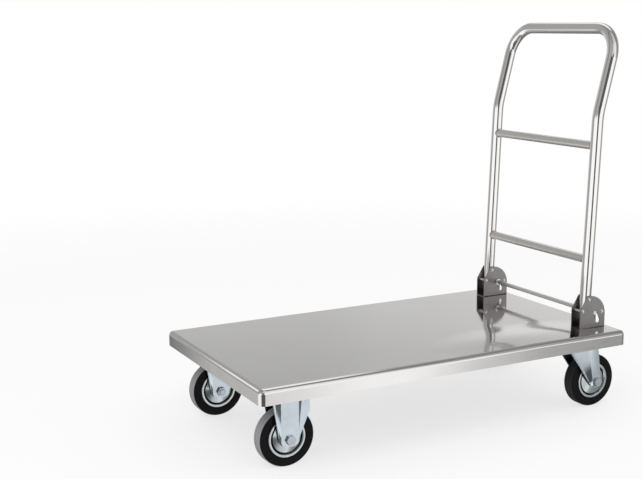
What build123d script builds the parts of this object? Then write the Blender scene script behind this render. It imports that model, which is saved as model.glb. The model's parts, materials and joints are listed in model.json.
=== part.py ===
from build123d import *
import os
from math import asin, atan2, cos, degrees, hypot, pi, radians, sin, sqrt, tan

# A folding platform trolley of stainless steel: a pressed deck on two fixed and two swivel casters, and a
# bent tube handle that folds down over the deck between two hinge brackets once the foot rod is pressed.
# Millimetres and degrees. +X points to the handle end, +Y to the left of someone facing that way, +Z up.
# The origin is on the floor, under the middle of the whole trolley.

# Deck
DECK_LENGTH = 900.0
DECK_WIDTH = 500.0
SKIRT_HEIGHT = 32.5
DECK_SHEET = 1.5
DECK_CORNER_RADIUS = 12.0
DECK_EDGE_RADIUS = 9.0
DECK_LIP = 14.0
BRACKET_SEAT_DEPTH = 0.5

# Stiffeners under the deck
CROSS_MEMBER_DEPTH = 25.0
CROSS_MEMBER_MARGIN = 7.0
CROSS_MEMBER_END_GAP = 17.0
CROSS_MEMBER_SHEET = 2.5
RAIL_WIDTH = 40.0
RAIL_DEPTH = 20.0
RAIL_SHEET = 2.0
RAIL_SIDE_INSET = 150.0
BEND_RADIUS = 3.0

# Handle
TUBE_DIAMETER = 25.4
TUBE_WALL = 1.5
HANDLE_SIDE_INSET = 67.0
HANDLE_LEAN = 2.45
HANDLE_TOP_LEAN = 14.57
KINK_ABOVE_DECK = 477.8
GRIP_ABOVE_DECK = 664.7
GRIP_CORNER_RADIUS = 65.0
KINK_RADIUS = 150.0
CROSSBAR_DIAMETER = 19.0
CROSSBAR_WALL = 1.2
END_PLUG_CAP = 4.0
UPPER_CROSSBAR_ABOVE_DECK = 410.1
LOWER_CROSSBAR_ABOVE_DECK = 155.6

# Hinge brackets
PIVOT_INSET = 63.5
PIVOT_ABOVE_DECK = 65.5
BRACKET_SIDE_CLEARANCE = 0.8
BRACKET_SHEET = 2.0
BRACKET_FRONT = 25.5
BRACKET_REAR = 45.0
BRACKET_ABOVE = 9.5
BRACKET_TOP_FRONT = 6.0
BRACKET_FRONT_SHOULDER = 22.5
BRACKET_SHOULDER_RADIUS = 6.0
BRACKET_TOP_RADIUS = 9.0
BRACKET_BACK_RADIUS = 44.0
PIVOT_PIN_DIAMETER = 8.0
STOP_PIN_DIAMETER = 7.0
SPRING_PIN_DIAMETER = 7.0
RIVET_HEAD_GROWTH = 1.8
RIVET_HEAD_HEIGHT = 2.4
SPRING_PIN_BEHIND = 37.5
SPRING_PIN_BELOW = 30.0

# Lock rod and its springs
LOCK_ROD_DIAMETER = 10.0
LOCK_ROD_BELOW = 31.0
LOCK_TRAVEL = 20.0
LOCK_SLOPE = 24.0
ROD_CLIP_DIAMETER = 15.0
ROD_CLIP_THICKNESS = 1.2
LOCK_ROD_CHAMFER = 0.6
SPRING_WIRE_DIAMETER = 1.5
SPRING_PITCH = 2.2
SPRING_WHOLE_TURNS = 4
SPRING_LEG_OVERRUN = 8.0

# Casters
WHEEL_DIAMETER = 121.0
TYRE_WIDTH = 28.0
TYRE_BORE_DIAMETER = 75.0
TYRE_SHOULDER_RADIUS = 4.0
WHEEL_SIDE_CLEARANCE = 4.9
WHEEL_TOP_CLEARANCE = 23.8
CASTER_SIDE_INSET = 75.0
FRONT_CASTER_INSET = 84.0
REAR_CASTER_INSET = 80.0
CASTER_TRAIL = 41.0
CASTER_PLATE_LENGTH = 110.0
CASTER_PLATE_WIDTH = 86.0
CASTER_PLATE_SHEET = 3.0
CASTER_PLATE_CORNER = 8.0
CASTER_HOLE_LENGTH_INSET = 13.0
CASTER_HOLE_WIDTH_INSET = 10.0
FORK_SHEET = 3.0
FORK_RIB_HEIGHT = 6.0
FIXED_FOOT_SPREAD = 15.0
FIXED_FOOT_DROP = 2.0
FIXED_LEG_END_RADIUS = 13.5
FIXED_LEG_FRONT = 37.0
FIXED_LEG_REAR = 47.0
FIXED_LEG_HEEL = 54.0
FIXED_RIB_END_RADIUS = 13.0
FIXED_RIB_TOP_WIDTH = 62.0
FIXED_RIB_FACE_RADIUS = 12.0
SWIVEL_LEG_END_RADIUS = 15.0
SWIVEL_LEG_FRONT = 37.0
SWIVEL_LEG_REAR = 44.0
SWIVEL_RIB_END_RADIUS = 14.5
SWIVEL_RIB_FRONT = 22.0
SWIVEL_FACE_RADIUS = 11.5
SWIVEL_FACE_START = 14.0
SWIVEL_FACE_REAR = 41.0
CROWN_DISC_INSET = 4.0
RACE_OUTER_DIAMETER = 72.0
RACE_WALL = 2.0
RACE_PRESS_DEPTH = 4.0
BALL_DIAMETER = 5.4
BALL_COUNT = 14
BALL_INSET = 5.3
KINGPIN_DIAMETER = 12.0
KINGPIN_HEAD_DIAMETER = 22.0
KINGPIN_HEAD_HEIGHT = 6.0
KINGPIN_HEAD_RADIUS = 2.0
AXLE_DIAMETER = 12.0
AXLE_HEX = 18.0
AXLE_HEAD_HEIGHT = 6.0
HUB_BUSH_WALL = 5.0
RIM_SHEET = 1.6
RIM_LIP_HEIGHT = 3.0
RIM_GROOVE_WIDTH = 5.0
RIM_GROOVE_FLOOR = 1.0
RIM_GROOVE_DEPTH = 3.5
RIM_DISH_DEPTH = 1.0
RIM_BOSS_WIDTH = 4.0

# M8 fasteners
BOLT_DIAMETER = 8.0
BOLT_HEX = 13.0
BOLT_HEAD_HEIGHT = 5.3
NUT_HEIGHT = 6.5
BOLT_OVERRUN = 2.0
BRACKET_BOLT_FRONT = 4.0
BRACKET_BOLT_REAR = 21.0

# Fits
RUNNING_CLEARANCE = 0.05
BOLT_CLEARANCE = 0.3
SLOT_CLEARANCE = 0.5
MOVING_GAP = 0.3
COIL_CLEARANCE = 0.6
LEG_CLEARANCE = 0.1

# Heights that follow from the sizes above, from the floor up
AXLE_HEIGHT = WHEEL_DIAMETER / 2
CROWN_UNDERSIDE = WHEEL_DIAMETER + WHEEL_TOP_CLEARANCE
CROWN_HEIGHT = CROWN_UNDERSIDE + FORK_SHEET
RACE_BOTTOM = CROWN_HEIGHT + BALL_DIAMETER + 2 * MOVING_GAP
PLATE_UNDERSIDE = RACE_BOTTOM + RACE_PRESS_DEPTH
CASTER_HEIGHT = PLATE_UNDERSIDE + CASTER_PLATE_SHEET
DECK_UNDERSIDE = CASTER_HEIGHT + CROSS_MEMBER_DEPTH
DECK_TOP = DECK_UNDERSIDE + DECK_SHEET
SKIRT_BOTTOM = DECK_TOP - SKIRT_HEIGHT
BRACKET_BOTTOM = DECK_TOP - BRACKET_SEAT_DEPTH
BRACKET_FLOOR = BRACKET_BOTTOM + BRACKET_SHEET
PIVOT_HEIGHT = DECK_TOP + PIVOT_ABOVE_DECK
LOWER_CROSSBAR_HEIGHT = DECK_TOP + LOWER_CROSSBAR_ABOVE_DECK
UPPER_CROSSBAR_HEIGHT = DECK_TOP + UPPER_CROSSBAR_ABOVE_DECK
KINK_HEIGHT = DECK_TOP + KINK_ABOVE_DECK
GRIP_HEIGHT = DECK_TOP + GRIP_ABOVE_DECK

# Places that follow from the sizes above
TUBE_RADIUS = TUBE_DIAMETER / 2
LEAN = Vector(sin(radians(HANDLE_LEAN)), 0, cos(radians(HANDLE_LEAN)))
TOP_LEAN = Vector(sin(radians(HANDLE_TOP_LEAN)), 0, cos(radians(HANDLE_TOP_LEAN)))
PIVOT_TO_KINK = (KINK_HEIGHT - PIVOT_HEIGHT) * tan(radians(HANDLE_LEAN))
KINK_TO_GRIP = (GRIP_HEIGHT - KINK_HEIGHT) * tan(radians(HANDLE_TOP_LEAN))
GRIP_OVERHANG = PIVOT_TO_KINK + KINK_TO_GRIP + TUBE_RADIUS - PIVOT_INSET
WHEEL_OVERHANG = CASTER_TRAIL + WHEEL_DIAMETER / 2 - REAR_CASTER_INSET
DECK_X = -max(0.0, GRIP_OVERHANG, WHEEL_OVERHANG) / 2
DECK_REAR = DECK_X + DECK_LENGTH / 2
DECK_FRONT = DECK_X - DECK_LENGTH / 2
PIVOT_X = DECK_REAR - PIVOT_INSET
HANDLE_HALF = DECK_WIDTH / 2 - HANDLE_SIDE_INSET
BRACKET_GAP = TUBE_DIAMETER + 2 * BRACKET_SIDE_CLEARANCE
BRACKET_WIDTH = BRACKET_GAP + 2 * BRACKET_SHEET
BRACKET_LENGTH = BRACKET_FRONT + BRACKET_REAR
BRACKET_MIDDLE = PIVOT_X + (BRACKET_REAR - BRACKET_FRONT) / 2
TRACK_HALF = DECK_WIDTH / 2 - CASTER_SIDE_INSET
FRONT_CASTER_X = DECK_FRONT + FRONT_CASTER_INSET
REAR_CASTER_X = DECK_REAR - REAR_CASTER_INSET
REAR_AXLE_X = REAR_CASTER_X + CASTER_TRAIL
CROSS_MEMBER_WIDTH = CASTER_PLATE_LENGTH + 2 * CROSS_MEMBER_MARGIN
LEG_INNER = TYRE_WIDTH / 2 + RIM_SHEET + WHEEL_SIDE_CLEARANCE
LEG_OUTER = LEG_INNER + FORK_SHEET
RIB_OUTER = LEG_OUTER + FORK_RIB_HEIGHT
BRACKET_BOLT_STEPS = (-BRACKET_BOLT_FRONT, BRACKET_BOLT_REAR)
SIDES = {"left": 1, "right": -1}

os.makedirs("parts", exist_ok=True)


def side_plane(x, y, z):
    """A plane that faces -Y: its own x runs along X and its own y along Z."""
    return Plane(origin=(x, y, z), x_dir=(1, 0, 0), z_dir=(0, -1, 0))


def turning_plane(x, y, z):
    """A plane for profiles turned about a line along Y: its own x runs along Y, its own y is the radius."""
    return Plane(origin=(x, y, z), x_dir=(0, 1, 0), z_dir=(1, 0, 0))


def along_y(x, y, z):
    """The line along Y through a point."""
    return Axis(origin=(x, y, z), direction=(0, 1, 0))


def save(part, name):
    """Labels a finished piece and writes it under its own name."""
    part.label = name
    export_step(part, f"parts/{name}.step")


def rivets(diameter, x, z):
    """A rivet through both plates of each bracket, domed at both ends."""
    shank = diameter / 2
    head = shank + RIVET_HEAD_GROWTH
    half = BRACKET_WIDTH / 2
    tip = half + RIVET_HEAD_HEIGHT
    dome = (head**2 + RIVET_HEAD_HEIGHT**2) / (2 * RIVET_HEAD_HEIGHT)
    halfway = asin(head / dome) / 2
    crest = (tip - dome + dome * cos(halfway), dome * sin(halfway))
    with BuildPart() as pins:
        for side in SIDES.values():
            y = side * HANDLE_HALF
            with BuildSketch(turning_plane(x, y, z)):
                with BuildLine():
                    Polyline((-tip, 0), (tip, 0))
                    ThreePointArc((tip, 0), crest, (half, head))
                    Polyline((half, head), (half, shank), (-half, shank), (-half, head))
                    ThreePointArc((-half, head), (-crest[0], crest[1]), (-tip, 0))
                make_face()
            revolve(axis=along_y(x, y, z))
    return pins.part


def hex_bolts(places, seat, grip):
    """Upright bolts with the head on the seat; the shank passes the grip and the nut and runs a little on."""
    with BuildPart() as bolts:
        with BuildSketch(Plane.XY.offset(seat)):
            with Locations(*places):
                RegularPolygon(BOLT_HEX / 2, 6, major_radius=False)
        extrude(amount=BOLT_HEAD_HEIGHT)
        with BuildSketch(Plane.XY.offset(seat)):
            with Locations(*places):
                Circle(BOLT_DIAMETER / 2)
        extrude(amount=-(grip + NUT_HEIGHT + BOLT_OVERRUN))
    return bolts.part


def hex_nuts(places, seat):
    """Nuts below the seat, bored to clear the shank."""
    with BuildPart() as nuts:
        with BuildSketch(Plane.XY.offset(seat)):
            with Locations(*places):
                RegularPolygon(BOLT_HEX / 2, 6, major_radius=False)
                Circle(BOLT_DIAMETER / 2 + RUNNING_CLEARANCE, mode=Mode.SUBTRACT)
        extrude(amount=-NUT_HEIGHT)
    return nuts.part


def plate_holes(x, y):
    """Where the four bolts of a caster plate go."""
    length = CASTER_PLATE_LENGTH - 2 * CASTER_HOLE_LENGTH_INSET
    width = CASTER_PLATE_WIDTH - 2 * CASTER_HOLE_WIDTH_INSET
    spots = GridLocations(length, width, 2, 2)
    return [(x + spot.position.X, y + spot.position.Y) for spot in spots]


# Deck: one pressed pan with a rounded rim and a lip turned in along the bottom of its skirt
bracket_places = [(BRACKET_MIDDLE, side * HANDLE_HALF) for side in SIDES.values()]
bracket_bolt_places = [
    (PIVOT_X + step, side * HANDLE_HALF)
    for side in SIDES.values()
    for step in BRACKET_BOLT_STEPS
]

with BuildPart() as deck_panel:
    with BuildSketch(Plane.XY.offset(SKIRT_BOTTOM)):
        with Locations((DECK_X, 0)):
            RectangleRounded(DECK_LENGTH, DECK_WIDTH, DECK_CORNER_RADIUS)
    extrude(amount=SKIRT_HEIGHT)
    fillet(deck_panel.faces().sort_by(Axis.Z)[-1].edges(), DECK_EDGE_RADIUS)
    offset(amount=-DECK_SHEET, openings=deck_panel.faces().sort_by(Axis.Z)[0])
    with BuildSketch(Plane.XY.offset(SKIRT_BOTTOM)):
        with Locations((DECK_X, 0)):
            RectangleRounded(DECK_LENGTH, DECK_WIDTH, DECK_CORNER_RADIUS)
            Rectangle(DECK_LENGTH - 2 * DECK_LIP, DECK_WIDTH - 2 * DECK_LIP, mode=Mode.SUBTRACT)
    extrude(amount=DECK_SHEET)
    with BuildSketch(Plane.XY.offset(DECK_TOP)):
        with Locations(*bracket_places):
            Rectangle(BRACKET_LENGTH + 2 * MOVING_GAP, BRACKET_WIDTH + 2 * MOVING_GAP)
    extrude(amount=-BRACKET_SEAT_DEPTH, mode=Mode.SUBTRACT)
    with BuildSketch(Plane.XY.offset(DECK_TOP)):
        with Locations(*bracket_bolt_places):
            Circle(BOLT_DIAMETER / 2 + BOLT_CLEARANCE)
    extrude(amount=-2 * DECK_SHEET, mode=Mode.SUBTRACT)
save(deck_panel.part, "deck_panel")

# Cross members: channels open to the deck, which carry the casters
cross_member_half = DECK_WIDTH / 2 - DECK_LIP - CROSS_MEMBER_END_GAP

for end, caster_x in (("front", FRONT_CASTER_X), ("rear", REAR_CASTER_X)):
    holes = [spot for side in SIDES.values() for spot in plate_holes(caster_x, side * TRACK_HALF)]
    with BuildPart() as cross_member:
        with BuildSketch(side_plane(caster_x, 0, CASTER_HEIGHT)):
            Rectangle(CROSS_MEMBER_WIDTH, CROSS_MEMBER_DEPTH, align=(Align.CENTER, Align.MIN))
        extrude(amount=cross_member_half, both=True)
        fillet(cross_member.edges().filter_by(Axis.Y).group_by(Axis.Z)[0], BEND_RADIUS)
        with BuildSketch(side_plane(caster_x, 0, CASTER_HEIGHT + CROSS_MEMBER_SHEET)):
            Rectangle(
                CROSS_MEMBER_WIDTH - 2 * CROSS_MEMBER_SHEET,
                CROSS_MEMBER_DEPTH,
                align=(Align.CENTER, Align.MIN),
            )
        extrude(amount=cross_member_half, both=True, mode=Mode.SUBTRACT)
        with BuildSketch(Plane.XY.offset(CASTER_HEIGHT)):
            with Locations(*holes):
                Circle(BOLT_DIAMETER / 2 + BOLT_CLEARANCE)
        extrude(amount=CROSS_MEMBER_SHEET, mode=Mode.SUBTRACT)
    save(cross_member.part, f"{end}_cross_member")

# Rails: channels open to the deck, between the cross members
rail_start = FRONT_CASTER_X + CROSS_MEMBER_WIDTH / 2
rail_end = REAR_CASTER_X - CROSS_MEMBER_WIDTH / 2

for side_name, side in SIDES.items():
    rail_y = side * (DECK_WIDTH / 2 - RAIL_SIDE_INSET)
    rail_plane = Plane(origin=(rail_start, rail_y, DECK_UNDERSIDE), x_dir=(0, 1, 0), z_dir=(1, 0, 0))
    with BuildPart() as rail:
        with BuildSketch(rail_plane):
            Rectangle(RAIL_WIDTH, RAIL_DEPTH, align=(Align.CENTER, Align.MAX))
        extrude(amount=rail_end - rail_start)
        fillet(rail.edges().filter_by(Axis.X).group_by(Axis.Z)[0], BEND_RADIUS)
        with BuildSketch(rail_plane):
            Rectangle(
                RAIL_WIDTH - 2 * RAIL_SHEET,
                RAIL_DEPTH - RAIL_SHEET,
                align=(Align.CENTER, Align.MAX),
            )
        extrude(amount=rail_end - rail_start, mode=Mode.SUBTRACT)
    save(rail.part, f"{side_name}_rail")

# Where the lock rod rests, behind the handle's tail, and how far the tail may reach and still swing past it
rod_radius = LOCK_ROD_DIAMETER / 2
rod_gap = 2 * MOVING_GAP
rod_behind = TUBE_RADIUS + rod_gap + rod_radius
rod_along = (LOCK_ROD_BELOW - rod_behind * LEAN.X) / LEAN.Z
rod_x = PIVOT_X - rod_along * LEAN.X + rod_behind * LEAN.Z
rod_z = PIVOT_HEIGHT - LOCK_ROD_BELOW
tail_reach = hypot(rod_x - PIVOT_X, LOCK_ROD_BELOW) - rod_radius - MOVING_GAP
tail_side_length = sqrt(tail_reach**2 - TUBE_RADIUS**2)
tail_length = tail_side_length - END_PLUG_CAP
rod_slide = Vector(sin(radians(LOCK_SLOPE)), 0, -cos(radians(LOCK_SLOPE))) * LOCK_TRAVEL

# The stop pin stands in front of the tail, and the spring pin behind the rod
stop_radius = STOP_PIN_DIAMETER / 2
spring_pin_radius = SPRING_PIN_DIAMETER / 2
stop_along = tail_side_length - END_PLUG_CAP / 2
stop_ahead = TUBE_RADIUS + MOVING_GAP + stop_radius
stop_x = PIVOT_X - stop_along * LEAN.X - stop_ahead * LEAN.Z
stop_z = PIVOT_HEIGHT - stop_along * LEAN.Z + stop_ahead * LEAN.X
spring_pin_x = PIVOT_X + SPRING_PIN_BEHIND
spring_pin_z = PIVOT_HEIGHT - SPRING_PIN_BELOW

# Hinge brackets: sheet folded into a U, open to the front and the rear
for side_name, side in SIDES.items():
    bracket_y = side * HANDLE_HALF
    below = BRACKET_BOTTOM - PIVOT_HEIGHT
    with BuildPart() as bracket:
        with BuildSketch(side_plane(PIVOT_X, bracket_y, PIVOT_HEIGHT)):
            with BuildLine():
                FilletPolyline(
                    (-BRACKET_FRONT, below),
                    (-BRACKET_FRONT, -BRACKET_FRONT_SHOULDER),
                    (-BRACKET_TOP_FRONT, BRACKET_ABOVE),
                    (BRACKET_REAR, BRACKET_ABOVE),
                    (BRACKET_REAR, below),
                    radius=(0, BRACKET_SHOULDER_RADIUS, BRACKET_TOP_RADIUS, BRACKET_BACK_RADIUS, 0),
                    close=True,
                )
            make_face()
        extrude(amount=BRACKET_WIDTH / 2, both=True)
        fillet(bracket.edges().filter_by(Axis.X).group_by(Axis.Z)[0], BEND_RADIUS)
        with BuildSketch(Plane.XY.offset(BRACKET_FLOOR)):
            with Locations((BRACKET_MIDDLE, bracket_y)):
                Rectangle(2 * BRACKET_LENGTH, BRACKET_GAP)
        extrude(amount=2 * BRACKET_LENGTH, mode=Mode.SUBTRACT)
        with BuildSketch(side_plane(0, bracket_y, 0)):
            with Locations((PIVOT_X, PIVOT_HEIGHT)):
                Circle(PIVOT_PIN_DIAMETER / 2 + RUNNING_CLEARANCE)
            with Locations((stop_x, stop_z)):
                Circle(stop_radius + RUNNING_CLEARANCE)
            with Locations((spring_pin_x, spring_pin_z)):
                Circle(spring_pin_radius + RUNNING_CLEARANCE)
            with Locations((rod_x + rod_slide.X / 2, rod_z + rod_slide.Z / 2)):
                slot_width = LOCK_ROD_DIAMETER + 2 * SLOT_CLEARANCE
                SlotCenterToCenter(LOCK_TRAVEL, slot_width, rotation=LOCK_SLOPE - 90)
        extrude(amount=BRACKET_WIDTH, both=True, mode=Mode.SUBTRACT)
        with BuildSketch(Plane.XY.offset(BRACKET_FLOOR)):
            with Locations(*[(PIVOT_X + step, bracket_y) for step in BRACKET_BOLT_STEPS]):
                Circle(BOLT_DIAMETER / 2 + BOLT_CLEARANCE)
        extrude(amount=-2 * BRACKET_SHEET, mode=Mode.SUBTRACT)
    save(bracket.part, f"{side_name}_hinge_bracket")

save(rivets(PIVOT_PIN_DIAMETER, PIVOT_X, PIVOT_HEIGHT), "pivot_pins")
save(rivets(STOP_PIN_DIAMETER, stop_x, stop_z), "stop_pins")
save(rivets(SPRING_PIN_DIAMETER, spring_pin_x, spring_pin_z), "spring_pins")

bracket_grip = BRACKET_FLOOR - DECK_UNDERSIDE
save(hex_bolts(bracket_bolt_places, BRACKET_FLOOR, bracket_grip), "bracket_bolts")
save(hex_nuts(bracket_bolt_places, DECK_UNDERSIDE), "bracket_nuts")

# Lock rod: one bar through the slots of all four bracket plates, with a clip beside each inner plate
with BuildPart() as lock_rod:
    with BuildSketch(side_plane(rod_x, 0, rod_z)):
        Circle(rod_radius)
    extrude(amount=HANDLE_HALF + BRACKET_WIDTH / 2, both=True)
    chamfer(lock_rod.edges().filter_by(GeomType.CIRCLE), LOCK_ROD_CHAMFER)
save(lock_rod.part, "lock_rod")

with BuildPart() as rod_clips:
    for side in SIDES.values():
        clip_y = side * (HANDLE_HALF - BRACKET_WIDTH / 2 - MOVING_GAP - ROD_CLIP_THICKNESS / 2)
        with BuildSketch(side_plane(rod_x, clip_y, rod_z)):
            Circle(ROD_CLIP_DIAMETER / 2)
            Circle(rod_radius + RUNNING_CLEARANCE, mode=Mode.SUBTRACT)
        extrude(amount=ROD_CLIP_THICKNESS / 2, both=True)
save(rod_clips.part, "rod_clips")

# Return springs: wire wound on the spring pin, with one leg under the lock rod and one on the bracket's floor
wire_radius = SPRING_WIRE_DIAMETER / 2
coil_radius = spring_pin_radius + COIL_CLEARANCE + wire_radius
leg_from_rod = rod_radius + LEG_CLEARANCE + wire_radius
pin_to_rod = hypot(rod_x - spring_pin_x, rod_z - spring_pin_z)
towards_rod = degrees(atan2(rod_z - spring_pin_z, rod_x - spring_pin_x))
leg_slant = degrees(asin((coil_radius - leg_from_rod) / pin_to_rod))
coil_start = (towards_rod - leg_slant + 270) % 360 - 180
coil_turn = 180 - coil_start + 360 * SPRING_WHOLE_TURNS
coil_steps = round(coil_turn / 90)
coil_length = SPRING_PITCH * coil_turn / 360


def coil_point(angle, y):
    """A point of the coil: the spring pin's line, plus the coil's radius at this angle, at this y."""
    turned = radians(angle)
    return Vector(spring_pin_x + coil_radius * cos(turned), y, spring_pin_z + coil_radius * sin(turned))


def coil_tangent(angle, climb):
    """The coil's direction at an angle, with its climb along Y for each millimetre round."""
    turned = radians(angle)
    return Vector(-sin(turned), climb, cos(turned)).normalized()


def biarc(start, start_tangent, end, end_tangent):
    """Two arcs, tangent where they meet, from one point and direction to another."""
    chord = end - start
    lean_on = chord.dot(start_tangent + end_tangent)
    spread = 2 * (1 - start_tangent.dot(end_tangent))
    reach = (sqrt(lean_on**2 + spread * chord.dot(chord)) - lean_on) / spread
    first_corner = start + start_tangent * reach
    last_corner = end - end_tangent * reach
    middle = (first_corner + last_corner) * 0.5
    TangentArc(start, middle, tangent=start_tangent)
    TangentArc(middle, end, tangent=last_corner - first_corner)


def least_gap(wire, count=600):
    """The least distance between the surfaces of two stretches of one wire that aren't next to each other."""
    points = [wire.position_at(i / count) for i in range(count + 1)]
    apart = int(count * pi * coil_radius / wire.length)
    gaps = [
        (points[i] - points[j]).length - SPRING_WIRE_DIAMETER
        for i in range(count + 1)
        for j in range(i + apart, count + 1)
    ]
    return min(gaps)


for side_name, side in SIDES.items():
    first_y = side * HANDLE_HALF - coil_length / 2
    angles = [coil_start + coil_turn * i / coil_steps for i in range(coil_steps + 1)]
    stations = [coil_point(angle, first_y + coil_length * i / coil_steps) for i, angle in enumerate(angles)]
    climb = SPRING_PITCH / (2 * pi * coil_radius)
    climbs = [0] + [climb] * (coil_steps - 1) + [0]
    tangents = [coil_tangent(angle, step) for angle, step in zip(angles, climbs)]
    leg_tip = stations[0] - tangents[0] * (pin_to_rod + SPRING_LEG_OVERRUN)
    foot_length = (stations[-1].Z - BRACKET_FLOOR) / -tangents[-1].Z
    with BuildPart() as spring:
        with BuildLine() as spring_line:
            Line(leg_tip, stations[0])
            for i in range(coil_steps):
                biarc(stations[i], tangents[i], stations[i + 1], tangents[i + 1])
            Line(stations[-1], stations[-1] + tangents[-1] * foot_length)
        with BuildSketch(Plane(origin=leg_tip, z_dir=tangents[0])):
            Circle(wire_radius)
        sweep()
    print(f"{side_name}_return_spring least gap {least_gap(spring_line.wire()):.2f} mm")
    save(spring.part, f"{side_name}_return_spring")

# Handle: one tube, bent back at the kink and round the grip, with a hole for each pivot pin
pivot = Vector(PIVOT_X, 0, PIVOT_HEIGHT)
kink = pivot + LEAN * ((KINK_HEIGHT - PIVOT_HEIGHT) / LEAN.Z)
grip = kink + TOP_LEAN * ((GRIP_HEIGHT - KINK_HEIGHT) / TOP_LEAN.Z)
tail = pivot - LEAN * tail_length
to_right = Vector(0, -HANDLE_HALF, 0)
to_left = Vector(0, HANDLE_HALF, 0)

with BuildPart() as handle_tube:
    with BuildLine():
        FilletPolyline(
            tail + to_right,
            kink + to_right,
            grip + to_right,
            grip + to_left,
            kink + to_left,
            tail + to_left,
            radius=(KINK_RADIUS, GRIP_CORNER_RADIUS, GRIP_CORNER_RADIUS, KINK_RADIUS),
        )
    with BuildSketch(Plane(origin=tail + to_right, z_dir=LEAN)):
        Circle(TUBE_RADIUS)
        Circle(TUBE_RADIUS - TUBE_WALL, mode=Mode.SUBTRACT)
    sweep()
    with BuildSketch(side_plane(PIVOT_X, 0, PIVOT_HEIGHT)):
        Circle(PIVOT_PIN_DIAMETER / 2 + RUNNING_CLEARANCE)
    extrude(amount=DECK_WIDTH, both=True, mode=Mode.SUBTRACT)
save(handle_tube.part, "handle_tube")

# Crossbars: thinner tubes, coped to the uprights
for name, height in (("upper_crossbar", UPPER_CROSSBAR_HEIGHT), ("lower_crossbar", LOWER_CROSSBAR_HEIGHT)):
    bar_x = PIVOT_X + (height - PIVOT_HEIGHT) * LEAN.X / LEAN.Z
    with BuildPart() as crossbar:
        with BuildSketch(side_plane(bar_x, 0, height)):
            Circle(CROSSBAR_DIAMETER / 2)
            Circle(CROSSBAR_DIAMETER / 2 - CROSSBAR_WALL, mode=Mode.SUBTRACT)
        extrude(amount=HANDLE_HALF, both=True)
        for side in SIDES.values():
            with Locations(Plane(origin=(bar_x, side * HANDLE_HALF, height), z_dir=LEAN)):
                Cylinder(TUBE_RADIUS, 2 * TUBE_DIAMETER, mode=Mode.SUBTRACT)
    save(crossbar.part, name)

# End plugs: rounded about the pivot, so that the tail swings clear of the lock rod
with BuildPart() as handle_end_plugs:
    for side in SIDES.values():
        end = tail + to_left * side
        with BuildSketch(Plane(origin=end, z_dir=LEAN)):
            Circle(TUBE_RADIUS)
        extrude(amount=-tail_reach)
    with BuildSketch(side_plane(PIVOT_X, 0, PIVOT_HEIGHT)):
        Circle(tail_reach)
    extrude(amount=DECK_WIDTH, both=True, mode=Mode.INTERSECT)
    for side in SIDES.values():
        end = tail + to_left * side
        with BuildSketch(Plane(origin=end, z_dir=LEAN)):
            Circle(TUBE_RADIUS - TUBE_WALL - RUNNING_CLEARANCE)
        extrude(amount=tail_length - PIVOT_PIN_DIAMETER)
save(handle_end_plugs.part, "handle_end_plugs")

# Fixed casters at the front: a plate and two ribbed legs in one pressing
for side_name, side in SIDES.items():
    caster_y = side * TRACK_HALF
    with BuildPart() as fork:
        with BuildSketch(Plane.XY.offset(PLATE_UNDERSIDE)):
            with Locations((FRONT_CASTER_X, caster_y)):
                RectangleRounded(CASTER_PLATE_LENGTH, CASTER_PLATE_WIDTH, CASTER_PLATE_CORNER)
            with Locations(*plate_holes(FRONT_CASTER_X, caster_y)):
                Circle(BOLT_DIAMETER / 2 + BOLT_CLEARANCE, mode=Mode.SUBTRACT)
        extrude(amount=CASTER_PLATE_SHEET)
        for outward in (-1, 1):
            leg_y = caster_y + outward * LEG_INNER
            with BuildSketch(side_plane(FRONT_CASTER_X, leg_y, AXLE_HEIGHT)):
                with Locations((0, -FIXED_FOOT_DROP)):
                    SlotCenterToCenter(FIXED_FOOT_SPREAD, 2 * FIXED_LEG_END_RADIUS)
                Polygon(
                    (-FIXED_LEG_FRONT, CASTER_HEIGHT - AXLE_HEIGHT),
                    (FIXED_LEG_REAR, CASTER_HEIGHT - AXLE_HEIGHT),
                    (FIXED_LEG_REAR, FIXED_LEG_HEEL),
                    align=None,
                )
                make_hull()
            extrude(amount=-outward * FORK_SHEET)
            with BuildSketch(side_plane(FRONT_CASTER_X, caster_y + outward * LEG_OUTER, AXLE_HEIGHT)):
                with Locations((0, -FIXED_FOOT_DROP)):
                    SlotCenterToCenter(FIXED_FOOT_SPREAD, 2 * FIXED_RIB_END_RADIUS)
                with Locations((0, PLATE_UNDERSIDE - AXLE_HEIGHT)):
                    Rectangle(FIXED_RIB_TOP_WIDTH, CASTER_PLATE_SHEET, align=(Align.CENTER, Align.MAX))
                make_hull()
            with BuildSketch(side_plane(FRONT_CASTER_X, caster_y + outward * RIB_OUTER, AXLE_HEIGHT)):
                with Locations((0, -FIXED_FOOT_DROP)):
                    SlotCenterToCenter(FIXED_FOOT_SPREAD, 2 * FIXED_RIB_FACE_RADIUS)
                    Rectangle(
                        FIXED_FOOT_SPREAD + 2 * FIXED_RIB_FACE_RADIUS,
                        PLATE_UNDERSIDE - AXLE_HEIGHT + FIXED_FOOT_DROP,
                        align=(Align.CENTER, Align.MIN),
                    )
            loft(ruled=True)
        with BuildSketch(side_plane(FRONT_CASTER_X, caster_y, AXLE_HEIGHT)):
            Circle(AXLE_DIAMETER / 2 + RUNNING_CLEARANCE)
        extrude(amount=2 * RIB_OUTER, both=True, mode=Mode.SUBTRACT)
    save(fork.part, f"front_{side_name}_fork")

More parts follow.
